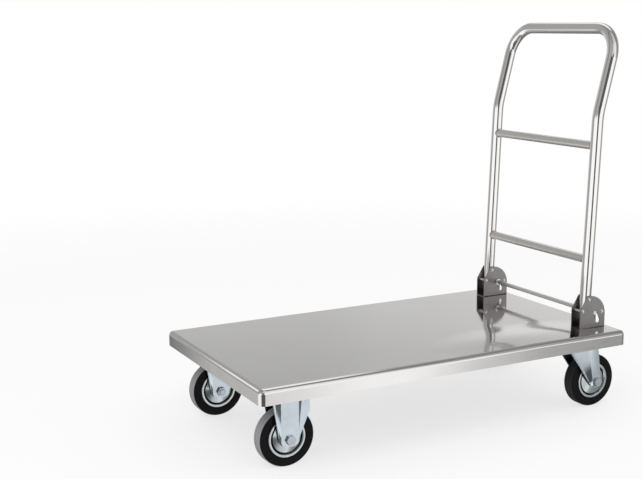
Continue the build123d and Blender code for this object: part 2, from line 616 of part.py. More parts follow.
# Swivel casters at the handle end: a plate with a pressed race and a skirt, balls, a kingpin and a raked fork
kingpin_hole = KINGPIN_DIAMETER / 2 + RUNNING_CLEARANCE
race_radius = RACE_OUTER_DIAMETER / 2
ball_circle = race_radius - RACE_WALL - BALL_INSET - BALL_DIAMETER / 2
crown_middle = (SWIVEL_LEG_REAR - SWIVEL_LEG_FRONT) / 2
crown_length = SWIVEL_LEG_REAR + SWIVEL_LEG_FRONT
rib_middle = (SWIVEL_LEG_REAR - SWIVEL_RIB_FRONT) / 2
rib_length = SWIVEL_LEG_REAR + SWIVEL_RIB_FRONT
face_middle = (SWIVEL_FACE_REAR + SWIVEL_FACE_START) / 2
face_length = SWIVEL_FACE_REAR - SWIVEL_FACE_START
crown_above_axle = CROWN_HEIGHT - AXLE_HEIGHT

for side_name, side in SIDES.items():
    caster_y = side * TRACK_HALF
    with BuildPart() as swivel_plate:
        with BuildSketch(Plane.XY.offset(PLATE_UNDERSIDE)):
            with Locations((REAR_CASTER_X, caster_y)):
                RectangleRounded(CASTER_PLATE_LENGTH, CASTER_PLATE_WIDTH, CASTER_PLATE_CORNER)
                Circle(kingpin_hole, mode=Mode.SUBTRACT)
            with Locations(*plate_holes(REAR_CASTER_X, caster_y)):
                Circle(BOLT_DIAMETER / 2 + BOLT_CLEARANCE, mode=Mode.SUBTRACT)
        extrude(amount=CASTER_PLATE_SHEET)
        with BuildSketch(Plane.XY.offset(PLATE_UNDERSIDE)):
            with Locations((REAR_CASTER_X, caster_y)):
                Circle(race_radius)
                Circle(kingpin_hole, mode=Mode.SUBTRACT)
        extrude(amount=-RACE_PRESS_DEPTH)
        with BuildSketch(Plane.XY.offset(RACE_BOTTOM)):
            with Locations((REAR_CASTER_X, caster_y)):
                Circle(race_radius)
                Circle(race_radius - RACE_WALL, mode=Mode.SUBTRACT)
        extrude(amount=CROWN_HEIGHT + MOVING_GAP - RACE_BOTTOM)
    save(swivel_plate.part, f"rear_{side_name}_swivel_plate")

    with BuildPart() as swivel_balls:
        ball_plane = Plane(origin=(REAR_CASTER_X, caster_y, CROWN_HEIGHT + BALL_DIAMETER / 2))
        with Locations(ball_plane):
            with PolarLocations(ball_circle, BALL_COUNT):
                Sphere(BALL_DIAMETER / 2)
    save(swivel_balls.part, f"rear_{side_name}_swivel_balls")

    with BuildPart() as kingpin:
        with BuildSketch(Plane.XY.offset(CASTER_HEIGHT)):
            with Locations((REAR_CASTER_X, caster_y)):
                Circle(KINGPIN_DIAMETER / 2)
        extrude(amount=CROWN_UNDERSIDE - CASTER_HEIGHT - MOVING_GAP)
        with BuildSketch(Plane.XY.offset(CROWN_UNDERSIDE - MOVING_GAP)):
            with Locations((REAR_CASTER_X, caster_y)):
                Circle(KINGPIN_HEAD_DIAMETER / 2)
        extrude(amount=-KINGPIN_HEAD_HEIGHT)
        fillet(kingpin.edges().sort_by(Axis.Z)[0], KINGPIN_HEAD_RADIUS)
    save(kingpin.part, f"rear_{side_name}_kingpin")

    with BuildPart() as fork:
        with BuildSketch(Plane.XY.offset(CROWN_UNDERSIDE)):
            with Locations((REAR_CASTER_X, caster_y)):
                Circle(race_radius - CROWN_DISC_INSET)
            with Locations((REAR_CASTER_X + crown_middle, caster_y)):
                Rectangle(crown_length, 2 * LEG_OUTER)
            with Locations((REAR_CASTER_X, caster_y)):
                Circle(kingpin_hole, mode=Mode.SUBTRACT)
        extrude(amount=FORK_SHEET)
        for outward in (-1, 1):
            leg_y = caster_y + outward * LEG_INNER
            with BuildSketch(side_plane(REAR_AXLE_X, leg_y, AXLE_HEIGHT)):
                Circle(SWIVEL_LEG_END_RADIUS)
                with Locations((crown_middle - CASTER_TRAIL, crown_above_axle)):
                    Rectangle(crown_length, FORK_SHEET, align=(Align.CENTER, Align.MAX))
                make_hull()
            extrude(amount=-outward * FORK_SHEET)
            for rib_y, end_radius, middle, length in (
                (LEG_OUTER, SWIVEL_RIB_END_RADIUS, rib_middle, rib_length),
                (RIB_OUTER, SWIVEL_FACE_RADIUS, face_middle, face_length),
            ):
                with BuildSketch(side_plane(REAR_AXLE_X, caster_y + outward * rib_y, AXLE_HEIGHT)):
                    Circle(end_radius)
                    with Locations((middle - CASTER_TRAIL, crown_above_axle)):
                        Rectangle(length, FORK_SHEET, align=(Align.CENTER, Align.MAX))
                    make_hull()
            loft(ruled=True)
        with BuildSketch(side_plane(REAR_AXLE_X, caster_y, AXLE_HEIGHT)):
            Circle(AXLE_DIAMETER / 2 + RUNNING_CLEARANCE)
        extrude(amount=2 * RIB_OUTER, both=True, mode=Mode.SUBTRACT)
    save(fork.part, f"rear_{side_name}_fork")


def axle_bolt(axle_x, caster_y, side):
    """An axle bolt along Y, its head on the trolley's outer side."""
    with BuildPart() as bolt:
        with BuildSketch(side_plane(axle_x, caster_y + side * RIB_OUTER, AXLE_HEIGHT)):
            RegularPolygon(AXLE_HEX / 2, 6, major_radius=False)
        extrude(amount=-side * AXLE_HEAD_HEIGHT)
        with BuildSketch(side_plane(axle_x, caster_y + side * RIB_OUTER, AXLE_HEIGHT)):
            Circle(AXLE_DIAMETER / 2)
        extrude(amount=side * (2 * RIB_OUTER + AXLE_HEAD_HEIGHT + BOLT_OVERRUN))
    return bolt.part


def axle_nut(axle_x, caster_y, side):
    """The axle bolt's nut, on the trolley's inner side."""
    with BuildPart() as nut:
        with BuildSketch(side_plane(axle_x, caster_y - side * RIB_OUTER, AXLE_HEIGHT)):
            RegularPolygon(AXLE_HEX / 2, 6, major_radius=False)
            Circle(AXLE_DIAMETER / 2 + RUNNING_CLEARANCE, mode=Mode.SUBTRACT)
        extrude(amount=side * AXLE_HEAD_HEIGHT)
    return nut.part


def tyre(axle_x, caster_y):
    """A plain rubber tyre with rounded shoulders."""
    depth = (WHEEL_DIAMETER - TYRE_BORE_DIAMETER) / 2
    with BuildPart() as ring:
        with BuildSketch(turning_plane(axle_x, caster_y, AXLE_HEIGHT)) as section:
            with Locations((0, WHEEL_DIAMETER / 2)):
                Rectangle(TYRE_WIDTH, depth, align=(Align.CENTER, Align.MAX))
            fillet(section.vertices().group_by(Axis.Y)[-1], TYRE_SHOULDER_RADIUS)
        revolve(axis=along_y(axle_x, caster_y, AXLE_HEIGHT))
    return ring.part


def rim_discs(axle_x, caster_y):
    """Two pressed discs that grip the tyre: a lip, a groove inside it, and a dished face to the hub."""
    seat = TYRE_BORE_DIAMETER / 2
    lip = seat + RIM_LIP_HEIGHT
    face = TYRE_WIDTH / 2
    groove_floor = face - RIM_GROOVE_DEPTH
    dish = seat - RIM_GROOVE_WIDTH
    hub = AXLE_DIAMETER / 2 + HUB_BUSH_WALL
    boss = hub + RIM_BOSS_WIDTH
    outer = [
        (lip, face + RIM_SHEET),
        (seat - RIM_SHEET, face + RIM_SHEET),
        (dish + RIM_GROOVE_FLOOR, groove_floor),
        (dish, groove_floor),
        (dish - RIM_SHEET, face - RIM_DISH_DEPTH),
        (boss, face + RIM_SHEET),
        (hub, face + RIM_SHEET),
    ]
    inner = [
        (hub, 0.5 * RIM_SHEET),
        (hub + RIM_SHEET, 0.5 * RIM_SHEET),
        (hub + RIM_SHEET, face),
        (boss, face),
        (dish - 2 * RIM_SHEET, face - RIM_DISH_DEPTH - RIM_SHEET),
        (dish - RIM_SHEET, groove_floor - RIM_SHEET),
        (seat - RIM_SHEET, groove_floor - RIM_SHEET),
        (seat - RIM_SHEET, 0.5 * RIM_SHEET),
        (seat, 0.5 * RIM_SHEET),
        (seat, face),
        (lip, face),
    ]
    with BuildPart() as discs:
        for direction in (-1, 1):
            with BuildSketch(turning_plane(axle_x, caster_y, AXLE_HEIGHT)):
                with BuildLine():
                    Polyline([(direction * y, radius) for radius, y in outer + inner], close=True)
                make_face()
            revolve(axis=along_y(axle_x, caster_y, AXLE_HEIGHT))
    return discs.part


def hub_bush(axle_x, caster_y):
    """The bush that turns on the axle bolt, a running gap short of the fork at both ends."""
    with BuildPart() as bush:
        with BuildSketch(side_plane(axle_x, caster_y, AXLE_HEIGHT)):
            Circle(AXLE_DIAMETER / 2 + HUB_BUSH_WALL)
            Circle(AXLE_DIAMETER / 2 + RUNNING_CLEARANCE, mode=Mode.SUBTRACT)
        extrude(amount=LEG_INNER - MOVING_GAP, both=True)
    return bush.part


# Wheels, axles and their nuts
for end, axle_x in (("front", FRONT_CASTER_X), ("rear", REAR_AXLE_X)):
    for side_name, side in SIDES.items():
        caster_y = side * TRACK_HALF
        save(tyre(axle_x, caster_y), f"{end}_{side_name}_tyre")
        save(rim_discs(axle_x, caster_y), f"{end}_{side_name}_rim_discs")
        save(hub_bush(axle_x, caster_y), f"{end}_{side_name}_hub_bush")
        save(axle_bolt(axle_x, caster_y, side), f"{end}_{side_name}_axle_bolt")
        save(axle_nut(axle_x, caster_y, side), f"{end}_{side_name}_axle_nut")

# Bolts and nuts that hold the caster plates to the cross members
caster_bolt_places = [
    spot
    for caster_x in (FRONT_CASTER_X, REAR_CASTER_X)
    for side in SIDES.values()
    for spot in plate_holes(caster_x, side * TRACK_HALF)
]
caster_grip = CROSS_MEMBER_SHEET + CASTER_PLATE_SHEET
save(hex_bolts(caster_bolt_places, CASTER_HEIGHT + CROSS_MEMBER_SHEET, caster_grip), "caster_bolts")
save(hex_nuts(caster_bolt_places, PLATE_UNDERSIDE), "caster_nuts")
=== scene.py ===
import json
from math import atan2, cos, pi, radians, sin

import bmesh
import bpy
import numpy as np
from mathutils import Matrix, Vector


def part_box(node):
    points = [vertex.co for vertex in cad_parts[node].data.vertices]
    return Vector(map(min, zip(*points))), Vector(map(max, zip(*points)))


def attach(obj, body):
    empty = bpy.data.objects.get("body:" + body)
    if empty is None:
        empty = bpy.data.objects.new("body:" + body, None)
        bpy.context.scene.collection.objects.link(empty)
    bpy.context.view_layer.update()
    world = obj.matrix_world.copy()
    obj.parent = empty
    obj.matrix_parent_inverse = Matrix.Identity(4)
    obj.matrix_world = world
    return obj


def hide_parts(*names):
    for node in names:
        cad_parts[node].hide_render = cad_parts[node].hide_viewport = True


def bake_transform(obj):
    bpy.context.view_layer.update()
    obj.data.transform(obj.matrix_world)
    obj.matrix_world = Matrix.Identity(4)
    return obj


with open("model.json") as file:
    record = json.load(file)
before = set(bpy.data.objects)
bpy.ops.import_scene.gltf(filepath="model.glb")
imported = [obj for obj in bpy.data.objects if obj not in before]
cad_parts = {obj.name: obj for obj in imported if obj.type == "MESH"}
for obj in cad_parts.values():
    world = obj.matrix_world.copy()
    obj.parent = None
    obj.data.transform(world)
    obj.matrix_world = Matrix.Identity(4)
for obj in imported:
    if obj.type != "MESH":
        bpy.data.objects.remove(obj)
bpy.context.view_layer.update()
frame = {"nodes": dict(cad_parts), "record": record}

# A folding platform trolley of polished stainless steel on zinc plated casters. Metres, +Z up, +X to the
# handle end. Sizes are in millimetres times MM.
MM = 0.001
NODES = frame["nodes"]
SIDES = ("left", "right")
ENDS = ("front", "rear")

# Camera
CAMERA_PLACE = (-1.32484, -2.15316, 0.86776)
CAMERA_AZIMUTH = -27.61
CAMERA_ELEVATION = 10.61
CAMERA_ROLL = -0.388
CAMERA_LENS = 64.85
CAMERA_REACH = 100.0
SENSOR_WIDTH = 36.0

# Studio
FLOOR_HALF = 14.0
FLOOR_NEAR = 1.6
FLOOR_FAR = 3.4
FLOOR_WHITE = 0.7
FLOOR_TONE = "#F6F6F6"
SOFT_LIGHT = 0.80
LAMP_AIM = (0.0, 0.0, 0.3)
KEY_PLACE = (-1.9, -1.6, 2.9)
KEY_SIZE = 2.4
KEY_POWER = 34.0
FILL_PLACE = (2.2, -1.4, 2.4)
FILL_SIZE = 2.0
FILL_POWER = 12.0

# The studio as polished metal shows it. A level is a share of white, a turn is in degrees round from the
# camera, and a height is the upward part of a direction. First come the floor's and walls' levels by turn.
FLOOR_LEVELS = (
    (-180, 0.2),
    (-150, 0.22),
    (-132.2, 0.18),
    (-131.4, 0.52),
    (-124, 0.54),
    (-117, 0.66),
    (-98, 1.04),
    (46, 0.72),
    (53, 0.79),
    (57, 1.02),
    (60, 1.06),
    (64, 0.64),
    (67, 0.42),
    (70, 0.34),
    (100, 0.27),
    (113, 0.13),
    (144, 0.2),
    (180, 0.2),
)
WALL_LEVELS = (
    (-180, 0.43),
    (-150, 0.38),
    (-85, 0.36),
    (-76, 1.05),
    (78, 1.05),
    (87, 0.34),
    (144, 0.36),
    (166, 0.56),
    (176, 0.475),
    (180, 0.43),
)
# Heights between which the floor passes into the walls
FLOOR_TO_WALL = (-0.235, -0.205)
# Dark gap where the camera stands: half-widths in degrees by height, the share that is darkest and its level,
# the heights between which the gap closes, and the level left there
GAP_WIDTHS = ((-0.31, 42.0), (-0.2, 17.0), (0.0, 17.0), (0.28, 32.0))
GAP_CORE = 0.7
GAP_LEVEL = 0.12
GAP_CLOSES = (0.3, 0.42)
GAP_CLOSED_LEVEL = 0.75
# Walls on the camera's side: the heights between which they dim, to which level, and how far round
NEAR_WALL_DIMS = (0.1, 0.24)
NEAR_WALL_LEVEL = 0.86
NEAR_WALL_SIDE = (0.0, 0.3)
# Backdrop opposite the camera: its glow, the heights where it ends and is full, and how far round it sets in
BACKDROP_GLOW = 0.30
BACKDROP_TOP = 0.36
BACKDROP_FULL = 0.12
BACKDROP_SIDE = (-0.55, -0.9)
# Ceiling: the heights between which it starts, its lift and where that sets in to the near side and the left,
# and its level
CEILING_HEIGHTS = (0.36, 0.52)
CEILING_LIFT = 0.32
CEILING_NEAR = (-0.1, 0.25)
CEILING_LEFT = (0.1, -0.2)
CEILING_LEVEL = 0.75
# Soft box in the ceiling: its direction, its soft edge and its straight right side
SOFT_BOX = (0.45, 0.45, 0.77)
SOFT_BOX_EDGE = (0.86, 0.92)
SOFT_BOX_RIGHT = (0.53, 0.44)
# Strip light at the back: where it sets in along each part of a direction, and where it fades
STRIP_X = (-0.2, -0.36)
STRIP_Y = (0.84, 0.86)
STRIP_FADE = (0.908, 0.878)
STRIP_Z = (0.0, 0.1)
# Shades on the walls: from and to which turn, how soft, the heights between which each sets in, and its level
WALL_SHADES = ((-88, -16, 4, (0.06, 0.17), 0.45), (64.5, 90, 3, (-0.06, 0.04), 0.45))

# Low swell in the deck's sheet in front of the near bracket: its middle, its reach along and across the deck,
# its height, how many cuts make its cells, and the fold's radius under which the skirt starts
SWELL_PLACE = (205.0 * MM, -185.0 * MM)
SWELL_REACH = (249.0 * MM, 112.0 * MM)
SWELL_HEIGHT = 3.6 * MM
SWELL_CUTS = (72, 36)
DECK_EDGE_RADIUS = 9.0 * MM

# Wheels
TYRE_BORE = 37.5 * MM
TYRE_SHOULDER = 4.0 * MM
TREAD_GROOVE_WIDTH = 1.6 * MM
TREAD_GROOVE_DEPTH = 0.8 * MM
TREAD_GROOVE_AT = 5.0 * MM
BEAD_STEP_RADIUS = 44.0 * MM
BEAD_STEP_DEPTH = 0.8 * MM
RIM_SHEET = 1.6 * MM
RIM_GROOVE_WIDTH = 5.0 * MM
RIM_GROOVE_FLOOR = 1.0 * MM
RIM_GROOVE_DEPTH = 3.5 * MM
RIM_DISH_DEPTH = 1.0 * MM
RIM_HUB_RADIUS = 11.0 * MM
RIM_BOSS_RADIUS = 15.0 * MM
RIM_BEND = 0.7 * MM
TYRE_BEND = 0.5 * MM
TYRE_CORNER_STEPS = 7
WHEEL_STEPS = 120

# Bands round the section of a rim and a tyre, as shares of the way round, and how soft they end
# The rim's band is painted shade: near black in the groove inside the lip.
RIM_PAINTED_SHADE = (0.14, 0.228)
RIM_PAINTED_SHADE_EDGE = 0.012
# The tyre's band is a painted sheen: a lighter tone on the tread.
TREAD_BAND = (0.23, 0.77)
TREAD_EDGE = 0.02

# Springs
WIRE_RADIUS = 0.75 * MM
SPRING_PITCH = 2.2 * MM
SPRING_WHOLE_TURNS = 4
SPRING_LEG_OVERRUN = 8.0 * MM
COIL_CLEARANCE = 0.6 * MM
LEG_CLEARANCE = 0.1 * MM
RIVET_HEAD_GROWTH = 1.8 * MM
BRACKET_SHEET = 2.0 * MM
TURN_STEPS = 28
LEG_STEPS = 24
FOOT_STEPS = 12
WIRE_SIDES = 12

# Weld beads
TUBE_RADIUS = 12.7 * MM
HANDLE_LEAN = 2.45
BEAD_RADIUS = 1.5 * MM
BEAD_RIPPLE = 0.14 * MM
BEAD_RIPPLES = 26
BEAD_STEPS = 208

# Rounded edges of pressed and cut steel, the angles at which an edge is sharp and faces are one flat, and the
# distance under which two points of a copied mesh are one
EDGE_ROUNDING = {
    "hinge_bracket": 0.35 * MM,
    "fork": 0.7 * MM,
    "swivel_plate": 0.6 * MM,
    "axle_bolt": 0.6 * MM,
    "axle_nut": 0.6 * MM,
}
EDGE_SEGMENTS = 2
SHARP_ANGLE = radians(20)
FLAT_ANGLE = radians(0.3)
MERGE_DISTANCE = 0.002 * MM

# Share of a pattern over which a metal's wear and a moulding's mottle go from smooth to rough
WEAR_SPAN = (0.12, 0.4)
MOTTLE_SPAN = (0.35, 0.7)
# Turning rings of a rim: how often they repeat round and across it, their span of the pattern, and roughness
RIM_RINGS = (6.0, 180.0, 3.0)
RIM_RING_SPAN = (0.3, 0.7)
RIM_ROUGHNESS = (0.1, 0.2)


def linear(code):
    """An sRGB hex colour as linear red, green, blue and alpha."""
    shares = [int(code[i : i + 2], 16) / 255 for i in (1, 3, 5)]
    return tuple(s / 12.92 if s <= 0.04045 else ((s + 0.055) / 1.055) ** 2.4 for s in shares) + (1.0,)


def per_mm(size):
    """A pattern's scale from the real size of its grain in millimetres."""
    return 1 / (size * MM)


def add(tree, kind, inputs=None, **properties):
    """Adds one node: properties set it up, and each input takes a value or another node's output."""
    node = tree.nodes.new(kind)
    for name, value in properties.items():
        setattr(node, name, value)
    for key, value in (inputs or {}).items():
        if isinstance(value, bpy.types.NodeSocket):
            tree.links.new(value, node.inputs[key])
        else:
            node.inputs[key].default_value = value
    return node


def start_material(name):
    """An empty material, its node tree and the coordinates that its patterns read."""
    material = bpy.data.materials.new(name)
    material.use_nodes = True
    material.node_tree.nodes.clear()
    return material, material.node_tree, add(material.node_tree, "ShaderNodeTexCoord")


def end_material(tree, **inputs):
    """Joins a surface shader with these inputs to the material's output."""
    named = {name.replace("_", " "): value for name, value in inputs.items()}
    shader = add(tree, "ShaderNodeBsdfPrincipled", named)
    add(tree, "ShaderNodeOutputMaterial", {"Surface": shader.outputs[0]})


def band(tree, place, start, end, soft):
    """1 between two places and 0 outside them, with soft ends."""
    middle = add(tree, "ShaderNodeMath", {0: place, 1: (start + end) / 2}, operation="SUBTRACT")
    away = add(tree, "ShaderNodeMath", {0: middle.outputs[0]}, operation="ABSOLUTE")
    half = (end - start) / 2
    return add(
        tree,
        "ShaderNodeMapRange",
        {"Value": away.outputs[0], "From Min": half + soft, "From Max": half},
        interpolation_type="SMOOTHSTEP",
    ).outputs[0]


def worked_metal(name, deep, pale, cloud, smear, smooth, rough, grain, stretch, scratch):
    """A bare metal: colour drifts between two tones over clouds, roughness follows handling smears, and a
    fine grain, drawn out along one axis, is scratched in. Real polishing and rolling lines are too fine to
    show, so the grain is drawn coarser. Sizes are in millimetres."""
    material, tree, coords = start_material(name)
    place = coords.outputs["Object"]
    clouds = add(tree, "ShaderNodeTexNoise", {"Vector": place, "Scale": per_mm(cloud), "Detail": 2.0})
    tone = add(
        tree,
        "ShaderNodeMixRGB",
        {"Fac": clouds.outputs["Fac"], "Color1": linear(deep), "Color2": linear(pale)},
    )
    smears = add(
        tree,
        "ShaderNodeTexNoise",
        {"Vector": place, "Scale": per_mm(smear), "Detail": 5.0, "Distortion": 0.7},
    )
    drawn = add(tree, "ShaderNodeMapping", {"Vector": place, "Scale": stretch})
    grains = add(
        tree,
        "ShaderNodeTexNoise",
        {"Vector": drawn.outputs[0], "Scale": per_mm(grain), "Detail": 3.0},
    )
    wear_and_sheen = add(
        tree,
        "ShaderNodeMath",
        {0: smears.outputs["Fac"], 1: grains.outputs["Fac"]},
        operation="MULTIPLY",
    )
    gloss = add(
        tree,
        "ShaderNodeMapRange",
        {
            "Value": wear_and_sheen.outputs[0],
            "From Min": WEAR_SPAN[0],
            "From Max": WEAR_SPAN[1],
            "To Min": smooth,
            "To Max": rough,
        },
    )
    bump = add(
        tree,
        "ShaderNodeBump",
        {"Height": grains.outputs["Fac"], "Distance": scratch * MM, "Strength": 1.0},
    )
    end_material(
        tree,
        Base_Color=tone.outputs[0],
        Metallic=1.0,
        Roughness=gloss.outputs[0],
        Normal=bump.outputs[0],
    )
    return material


def polished_sheet():
    """304 stainless sheet, pressed and then polished: a soft mirror with faint lines along the deck."""
    return worked_metal(
        "polished stainless sheet",
        "#E5E3E2",
        "#F0EFEE",
        cloud=260,
        smear=45,
        smooth=0.05,
        rough=0.12,
        grain=1.6,
        stretch=(0.03, 1.0, 1.0),
        scratch=0.0015,
    )


def buffed_tube():
    """304 stainless tube, drawn and buffed to a mirror: bright, with faint rings from the buffing wheel."""
    return worked_metal(
        "buffed stainless tube",
        "#F0EEEC",
        "#F8F7F5",
        cloud=120,
        smear=30,
        smooth=0.05,
        rough=0.11,
        grain=1.2,
        stretch=(0.3, 0.3, 1.0),
        scratch=0.001,
    )


def satin_crossbar():
    """304 stainless tube, drawn and lightly buffed: a soft, slightly warm sheen along the bar."""
    return worked_metal(
        "satin stainless crossbar",
        "#E8E5E1",
        "#F4F1EE",
        cloud=90,
        smear=60,
        smooth=0.26,
        rough=0.32,
        grain=1.0,
        stretch=(1.0, 0.05, 1.0),
        scratch=0.0006,
    )


def drawn_rod():
    """304 stainless rod, cold drawn and left so: an even pale grey with fine drawing lines along it."""
    return worked_metal(
        "drawn stainless rod",
        "#F0EEEC",
        "#FAF8F6",
        cloud=90,
        smear=60,
        smooth=0.34,
        rough=0.4,
        grain=1.0,
        stretch=(1.0, 0.05, 1.0),
        scratch=0.0006,
    )


def folded_sheet():
    """304 stainless sheet, cut, folded and rolled: darker than the deck, with upright rolling lines."""
    return worked_metal(
        "folded stainless sheet",
        "#8F8C8B",
        "#A3A09F",
        cloud=60,
        smear=18,
        smooth=0.3,
        rough=0.42,
        grain=0.9,
        stretch=(1.0, 1.0, 0.08),
        scratch=0.003,
    )


def mill_channel():
    """304 stainless sheet as the mill leaves it, folded to a channel: a dull grey with lines along it."""
    return worked_metal(
        "mill finish stainless channel",
        "#B4B3B2",
        "#C3C2C1",
        cloud=110,
        smear=30,
        smooth=0.28,
        rough=0.42,
        grain=1.4,
        stretch=(0.1, 0.1, 1.0),
        scratch=0.004,
    )


def bright_bar():
    """Bright drawn stainless bar, cut and headed: smooth and pale, with short drawing lines."""
    return worked_metal(
        "bright drawn bar",
        "#DADAD9",
        "#EBEBEA",
        cloud=80,
        smear=60,
        smooth=0.24,
        rough=0.3,
        grain=0.8,
        stretch=(1.0, 0.05, 1.0),
        scratch=0.001,
    )


def zinc_pressing():
    """Mild steel, pressed and barrel plated with blue-bright zinc: a cool, silky grey with fine mottling."""
    return worked_metal(
        "blue-bright zinc pressing",
        "#C7D3DB",
        "#E0E9EF",
        cloud=24,
        smear=9,
        smooth=0.14,
        rough=0.26,
        grain=1.1,
        stretch=(1.0, 1.0, 1.0),
        scratch=0.006,
    )


def zinc_fastener():
    """Steel bolts and nuts, cold headed and zinc plated: cool and a little brighter than the pressings."""
    return worked_metal(
        "zinc plated fastener",
        "#B9C2C9",
        "#CFD8DE",
        cloud=14,
        smear=6,
        smooth=0.2,
        rough=0.36,
        grain=0.8,
        stretch=(1.0, 1.0, 1.0),
        scratch=0.008,
    )


def shade_black_bolt():
    """Steel bolts, cold headed, inside the hinge brackets: near black as painted shade, with a dull sheen."""
    return worked_metal(
        "bolt painted black as shade",
        "#151516",
        "#212122",
        cloud=14,
        smear=6,
        smooth=0.4,
        rough=0.55,
        grain=0.8,
        stretch=(1.0, 1.0, 1.0),
        scratch=0.004,
    )


def spring_wire():
    """Patented spring wire, drawn and coiled cold: grey and bright on the outside of each turn."""
    return worked_metal(
        "drawn spring wire",
        "#8E9092",
        "#A9ABAD",
        cloud=10,
        smear=4,
        smooth=0.2,
        rough=0.34,
        grain=0.6,
        stretch=(1.0, 1.0, 1.0),
        scratch=0.004,
    )


def ground_balls():
    """Hardened bearing steel, ground and lapped: dark mirror with a film of grease."""
    return worked_metal(
        "ground bearing steel",
        "#9DA0A4",
        "#B2B5B9",
        cloud=8,
        smear=3,
        smooth=0.08,
        rough=0.18,
        grain=0.5,
        stretch=(1.0, 1.0, 1.0),
        scratch=0.001,
    )


def weld_metal():
    """Stainless weld, brushed after welding: pale and rippled, with a straw tint from the heat."""
    return worked_metal(
        "brushed stainless weld",
        "#B9AE9C",
        "#D6D2CB",
        cloud=6,
        smear=4,
        smooth=0.2,
        rough=0.36,
        grain=0.7,
        stretch=(1.0, 1.0, 1.0),
        scratch=0.01,
    )


def pressed_rim():
    """Steel disc, pressed and spun, zinc plated: cool and silky, with fine turning rings about the hub, drawn
    coarser than real ones so that they show, and near black painted shade in the groove inside the lip."""
    material, tree, coords = start_material("spun zinc rim")
    unrolled = coords.outputs["UV"]
    rings = add(tree, "ShaderNodeMapping", {"Vector": unrolled, "Scale": RIM_RINGS})
    turned = add(tree, "ShaderNodeTexNoise", {"Vector": rings.outputs[0], "Scale": 1.0, "Detail": 3.0})
    spots = add(
        tree,
        "ShaderNodeTexNoise",
        {"Vector": coords.outputs["Object"], "Scale": per_mm(12), "Detail": 3.0},
    )
    tone = add(
        tree,
        "ShaderNodeMixRGB",
        {"Fac": spots.outputs["Fac"], "Color1": linear("#C2CACD"), "Color2": linear("#DFE4E4")},
    )
    ring = add(tree, "ShaderNodeSeparateXYZ", {0: unrolled})
    # The groove inside the lip is coloured near black: painted shade.
    painted_shade = band(tree, ring.outputs["Y"], *RIM_PAINTED_SHADE, RIM_PAINTED_SHADE_EDGE)
    tone_with_painted_shade = add(
        tree, "ShaderNodeMixRGB", {"Fac": painted_shade, "Color1": tone.outputs[0], "Color2": linear("#0E0E0E")}
    )
    gloss = add(
        tree,
        "ShaderNodeMapRange",
        {
            "Value": turned.outputs["Fac"],
            "From Min": RIM_RING_SPAN[0],
            "From Max": RIM_RING_SPAN[1],
            "To Min": RIM_ROUGHNESS[0],
            "To Max": RIM_ROUGHNESS[1],
        },
    )
    bump = add(
        tree,
        "ShaderNodeBump",
        {"Height": turned.outputs["Fac"], "Distance": 0.008 * MM, "Strength": 1.0},
    )
    end_material(
        tree,
        Base_Color=tone_with_painted_shade.outputs[0],
        Metallic=1.0,
        Roughness=gloss.outputs[0],
        Normal=bump.outputs[0],
    )
    return material


def moulded(name, deep, pale, cloud, smooth, rough, grain, depth, level, wear_and_sheen=None):
    """A moulded polymer: two close tones, a gloss that varies in patches, and a fine mould grain, drawn
    coarser than a real one so that it shows; the last argument gives another tone, a painted sheen, to a band
    round the section as (start, end, tone)."""
    material, tree, coords = start_material(name)
    place = coords.outputs["Object"]
    clouds = add(
        tree,
        "ShaderNodeTexNoise",
        {"Vector": place, "Scale": per_mm(cloud), "Detail": 5.0, "Distortion": 0.4},
    )
    spread = add(
        tree,
        "ShaderNodeMapRange",
        {"Value": clouds.outputs["Fac"], "From Min": MOTTLE_SPAN[0], "From Max": MOTTLE_SPAN[1]},
    )
    tone = add(
        tree,
        "ShaderNodeMixRGB",
        {"Fac": spread.outputs[0], "Color1": linear(deep), "Color2": linear(pale)},
    )
    # A band of another tone round the section: on tyres, a painted sheen on the tread.
    if wear_and_sheen:
        start, end, sheen_tone = wear_and_sheen
        unrolled = add(tree, "ShaderNodeSeparateXYZ", {0: coords.outputs["UV"]})
        tread = band(tree, unrolled.outputs["Y"], start, end, TREAD_EDGE)
        tone = add(
            tree, "ShaderNodeMixRGB", {"Fac": tread, "Color1": tone.outputs[0], "Color2": linear(sheen_tone)}
        )
    gloss = add(
        tree,
        "ShaderNodeMapRange",
        {"Value": spread.outputs[0], "To Min": smooth, "To Max": rough},
    )
    grains = add(tree, "ShaderNodeTexNoise", {"Vector": place, "Scale": per_mm(grain), "Detail": 2.0})
    bump = add(
        tree,
        "ShaderNodeBump",
        {"Height": grains.outputs["Fac"], "Distance": depth * MM, "Strength": 1.0},
    )
    end_material(
        tree,
        Base_Color=tone.outputs[0],
        Roughness=gloss.outputs[0],
        Normal=bump.outputs[0],
        Specular_IOR_Level=level,
    )
    return material


def tyre_rubber(name, tread):
    """Black rubber, moulded: satin black walls from the mould, and a tread in a lighter tone that is a painted
    sheen."""
    return moulded(
        name,
        "#0B0B0C",
        "#151515",
        cloud=22,
        smooth=0.36,
        rough=0.52,
        grain=0.9,
        depth=0.015,
        level=0.12,
        wear_and_sheen=(*TREAD_BAND, tread),
    )


def nylon_bush():
    """Natural nylon, moulded: a milky white with a waxy gloss."""
    return moulded(
        "moulded natural nylon",
        "#D9D5C8",
        "#E6E3DA",
        cloud=9,
        smooth=0.3,
        rough=0.42,
        grain=0.7,
        depth=0.01,
        level=0.5,
    )


def polythene_plug():
    """Black polythene, moulded: soft gloss with a fine spark grain."""
    return moulded(
        "moulded black polythene",
        "#111112",
        "#1C1C1D",
        cloud=12,
        smooth=0.38,
        rough=0.52,
        grain=0.8,
        depth=0.015,
        level=0.5,
    )


